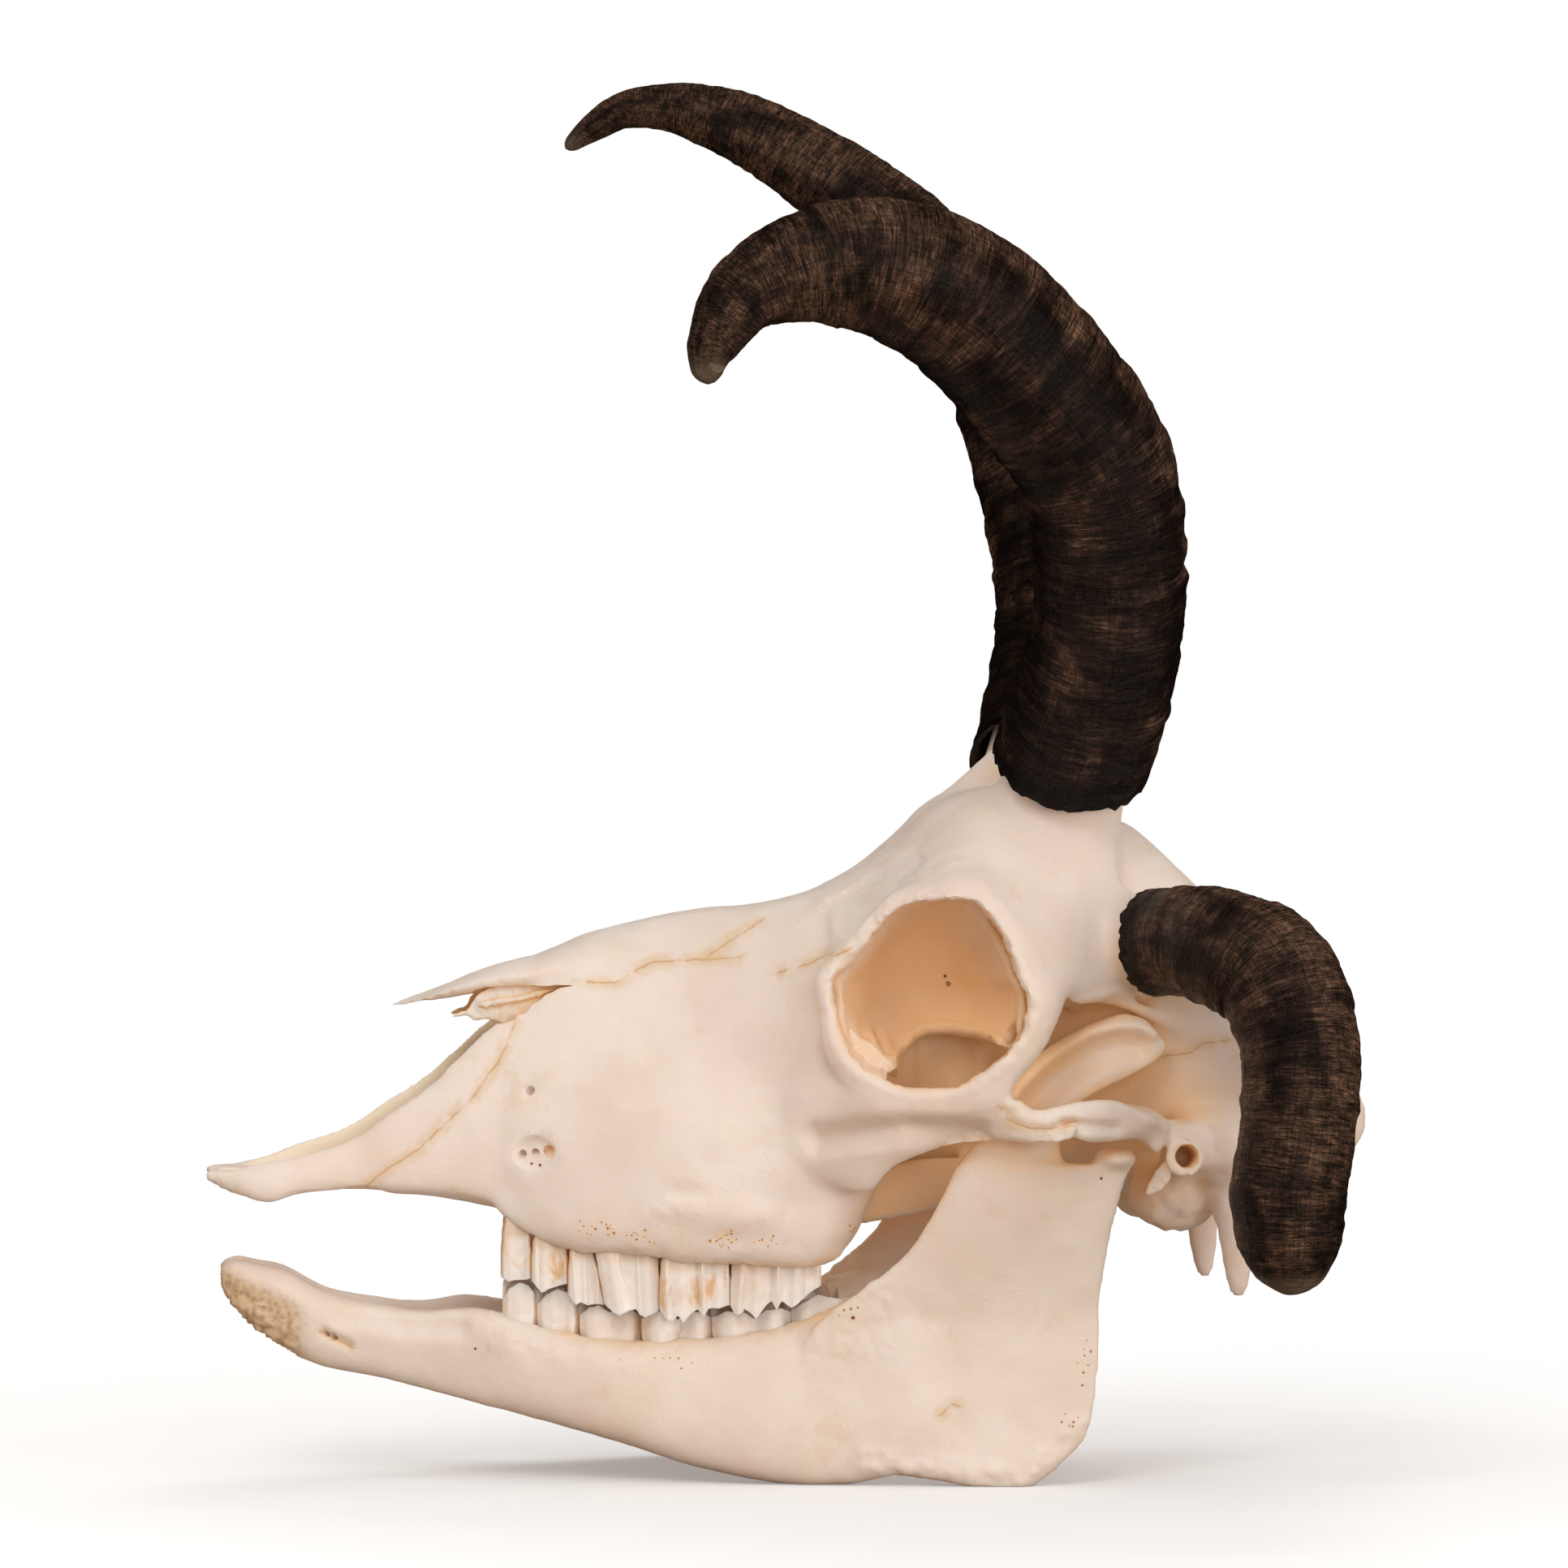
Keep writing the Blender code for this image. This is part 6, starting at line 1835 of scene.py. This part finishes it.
def bone_finish(name, lines, yellow):
    paint = Paint(name)
    colour = paint.blend(paint.between(paint.noise(28, 3.0), 0.38, 0.62), PINK_CREAM, PALE_CREAM)
    patches = paint.between(paint.noise(45, 4.0, 0.6, distortion=0.6), 0.47, 0.66)
    stains = paint.between(paint.noise(70, 5.0, 0.65), 0.60, 0.72)
    specks = paint.between(paint.noise(900, 2.0, 0.5), 0.68, 0.76)
    mottle = (paint.noise(120, 3.0) - 0.5) * 0.14 + (paint.noise(45, 4.0) - 0.5) * 0.16
    layers = [
        (patches * 0.5 + yellow, YELLOW_CREAM),
        (stains * 0.35, FAT_YELLOW),
        (specks * 0.16, (0.42, 0.30, 0.20)),
        # Painted bounce light: hollows turn warm tan as light bounces between their walls, with the fat that
        # stays in them.
        (paint.between(paint.attribute("closed_in") + mottle, 0.16, 0.68), HOLLOW_TAN),
    ]
    if "nasal_joint" in lines:
        # Painted shade with some grease under the eye socket.
        shade_and_grease = paint.attribute("stained") * paint.between(paint.noise(60, 4.0, 0.6), 0.30, 0.62, 0.55, 1.0)
        layers.append((shade_and_grease * 0.42, (0.52, 0.34, 0.21)))
        # Painted light through the thin bone at the front of the nose.
        layers.append((paint.attribute("painted_light_at_nose") * 0.8, (1.0, 0.86, 0.66)))
    broken = paint.between(paint.noise(230, 2.0), 0.30, 0.50)
    for line in lines:
        layers.append((paint.line(line, 2.2, 2.4, 250.0) * broken * 0.5, FAT_YELLOW))
        layers.append((paint.line(line, 0.34, 1.1) * broken * 0.8, JOINT_BROWN))
    if "lip_slit" in lines:
        spongy = paint.attribute("spongy")
        holes = paint.between(paint.cells(620), 0.25, 0.55)
        layers.append((spongy * 0.75, (0.66, 0.43, 0.22)))
        # Dark dots in the spongy bone: painted shade in its small holes.
        layers.append((spongy * (1 - holes) * 0.4, (0.30, 0.15, 0.07)))
    streaks = paint.noise(1.0, 3.0, 0.6, paint.stretched(160, 700, 900))
    pores = paint.between(paint.cells(420), 0.06, 0.20) * paint.between(paint.noise(60, 2.0), 0.52, 0.66)
    normal = paint.bumps(
        (paint.noise(240, 4.0, 0.6), 0.00030, 0.35),
        (streaks, 0.00014, 0.35),
        (paint.noise(1500, 3.0, 0.6), 0.00012, 0.40),
        (pores, 0.00020, 0.35),
    )
    roughness = paint.between(paint.noise(200, 3.0), 0.3, 0.7, 0.40, 0.56)
    others = {"Normal": normal, "Specular IOR Level": 0.42, **soft_light(0.2, (1.0, 0.45, 0.22), 0.004)}
    return paint.finish(layered(paint, colour, *layers), roughness, others)


def wear(obj, material):
    """One finish all over; cuts leave empty slots behind that are dropped first."""
    obj.data.materials.clear()
    obj.data.materials.append(material)
    obj.data.polygons.foreach_set("material_index", np.zeros(len(obj.data.polygons), dtype=np.int32))


wear(cranium, bone_finish("cranium_bone", JOINTS, 0.0))
jaw_finish = bone_finish("jaw_bone", JAW_LINES, 0.12)
for jaw in jaws.values():
    wear(jaw, jaw_finish)

# %% [markdown]
# Enamel is smoother and paler than bone: cream on its sides, bluish white at the worn edge, and stained
# orange-brown in the folds between the ribs. Its end faces carry painted warm bounce light where neighbours
# meet, and low on the crown, towards the gum, it carries painted shade in tan.

# %% Enamel finish
paint = Paint("tooth_enamel")
crown = paint.part(paint.node("ShaderNodeUVMap"), Y)
stained = paint.attribute("stain")
cream = paint.blend(paint.between(paint.noise(160, 3.0), 0.35, 0.65), (0.85, 0.73, 0.64), (0.90, 0.82, 0.76))
white_edge = paint.between(crown + (paint.noise(400, 2.0) - 0.5) * 0.2, 0.80, 0.98)
streaks = paint.noise(1.0, 4.0, 0.65, paint.stretched(260, 260, 150), 0.8)
stain = paint.between(streaks + stained * 0.16, 0.58, 0.74) * paint.between(stained, 0.05, 0.6)
stain = stain * paint.between(crown, 0.30, 0.55) * paint.between(crown, 1.0, 0.88)
# Painted shade: tan low on the crown, towards the gum where the tooth goes into the bone.
painted_root_shade = paint.between(crown + (paint.noise(300, 2.0) - 0.5) * 0.12, 0.46, 0.36)
# Painted bounce light: the end faces between neighbours turn warm orange, as light bouncing in the gaps makes
# them.
painted_gap_bounce = paint.attribute("painted_gap_bounce") * paint.between(crown, 1.05, 0.8)
colour = layered(
    paint,
    cream,
    (white_edge * 0.6, (0.88, 0.82, 0.79)),
    (stain * 0.8, (0.74, 0.42, 0.14)),
    (painted_root_shade * 0.4, (0.74, 0.46, 0.23)),
    (painted_gap_bounce * 0.8, (0.92, 0.62, 0.34)),
    (paint.between(crown, 1.12, 1.3) * 0.7, (0.50, 0.33, 0.19)),
)
normal = paint.bumps(
    (paint.noise(1.0, 3.0, 0.5, paint.stretched(900, 900, 260)), 0.00010, 0.5),
    (paint.noise(1.0, 2.0, 0.5, paint.stretched(200, 200, 1500)), 0.00007, 0.4),
)
enamel = paint.finish(colour, 0.30, {"Normal": normal, **soft_light(0.3, (1.0, 0.6, 0.4), 0.003)})
for tooth in teeth.values():
    wear(tooth, enamel)

# %% [markdown]
# Dark horn is nearly black where it is fresh at the mouth and browner towards the tip, and a painted highlight
# makes the faces that look up and back browner too. Brown and black alternate in fine rings, crossed by the
# fibres, so both patterns are laid out on the horn's own UV map.

# %% Horn finish
HORN_BLACK = (0.0034, 0.0025, 0.0022)
HORN_BROWN = (0.125, 0.064, 0.040)
HORN_TAN = (0.30, 0.160, 0.098)
HORN_WORN = (0.24, 0.175, 0.12)


def horn_finish(name, length, brown, tip_brown, seed):
    paint = Paint(name)
    layout = paint.node("ShaderNodeUVMap")
    turn = paint.part(layout, X) * (2 * math.pi)
    along = paint.part(layout, Y)
    cosine, sine = turn.math("COSINE", turn), turn.math("SINE", turn)

    def pattern(around_scale, along_scale, detail=3.0, roughness=0.55):
        inputs = {0: cosine * around_scale + seed, 1: sine * around_scale, 2: along * along_scale}
        return paint.noise(1.0, detail, roughness, paint.node("ShaderNodeCombineXYZ", None, inputs))

    browner = paint.between(along, length * 0.58, length * 0.85) * tip_brown
    # The painted highlight on the upper and rear faces makes them lighter brown.
    broad = pattern(1.0, 0.05, 4.0, 0.6) + browner + paint.attribute("painted_top_highlight") * 0.2 + brown
    patches = paint.between(broad, 0.47, 0.60)
    rings = paint.between(pattern(0.7, 0.32, 5.0, 0.68), 0.43, 0.56)
    flakes = paint.between(pattern(5.0, 1.7, 4.0, 0.7), 0.38, 0.56)
    fibres = paint.between(pattern(24.0, 0.10, 3.0, 0.6), 0.36, 0.62)
    amount = (0.26 + patches * 0.74) * (0.22 + rings * 0.78) * (0.40 + flakes * 0.60) * (0.62 + fibres * 0.38)
    tan = (0.45 + rings * 0.55) * (0.3 + flakes * 0.7) * (0.5 + fibres * 0.5)
    # Thin dark lines: the weekly rings, the fibres between them, and fine cracks round the horn.
    fine_rings = paint.between(pattern(2.2, 2.6, 3.0, 0.6), 0.42, 0.56)
    fine_fibres = paint.between(pattern(45.0, 0.35, 2.0, 0.6), 0.40, 0.56)
    cracks = paint.between(pattern(2.6, 1.9, 4.0, 0.7), 0.44, 0.36)
    # Fresh horn at the mouth is black, and the last millimetres are worn grey-brown.
    fresh = paint.between(abs(along), 8.0, 1.0)
    worn = paint.between(along + pattern(2.0, 0.2, 3.0) * 6, length - 4.0, length + 1.0)
    colour = layered(
        paint,
        paint.blend(amount, HORN_BLACK, HORN_BROWN),
        (paint.between(broad, 0.56, 0.70) * tan * 0.85, HORN_TAN),
        ((1 - fine_rings) * 0.62, HORN_BLACK),
        ((1 - fine_fibres) * 0.45, HORN_BLACK),
        (cracks * 0.8, HORN_BLACK),
        (fresh * 0.9, HORN_BLACK),
        (worn * 0.7, HORN_WORN),
    )
    normal = paint.bumps(
        (fibres, 0.00018, 0.7),
        (fine_rings, 0.00016, 0.8),
        (pattern(2.4, 1.5, 4.0, 0.65), 0.00075, 0.85),
        (flakes, 0.00020, 0.6),
        (1 - cracks, 0.00020, 0.6),
    )
    roughness = paint.between(pattern(3.0, 0.4, 3.0), 0.35, 0.65, 0.20, 0.40)
    others = {"Normal": normal, "Specular IOR Level": 0.25, "Specular Tint": (1.0, 0.84, 0.74, 1.0)}
    return paint.finish(colour, roughness, others)


# Length in millimetres, how much browner it is all over and towards the tip, and seed.
HORN_FINISHES = {
    "upper_horn_left": (191, 0.0, 0.14, 0.0),
    "upper_horn_right": (230, 0.03, 0.12, 7.0),
    "lateral_horn_left": (106, 0.08, 0.05, 12.0),
    "lateral_horn_right": (106, 0.08, 0.05, 14.0),
}
for node, numbers in HORN_FINISHES.items():
    wear(horns[node], horn_finish("horn_" + HORNS[node][0], *numbers))

# %% [markdown]
# Last, every piece is tied to the imported model: it stands for its solid and rides on the one body. The size is
# printed before and after.

# %% Tying the pieces to the frame
def tie(piece, node):
    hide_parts(node)
    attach(piece, "root")


tie(cranium, "cranium")
for side, jaw in jaws.items():
    tie(jaw, "mandible_" + WORDS[side])
for node, tooth in teeth.items():
    tie(tooth, node)
for node, horn in horns.items():
    tie(horn, node)

shown_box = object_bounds()
report("shown box in mm:", [[round(value / MM, 1) for value in corner] for corner in shown_box])
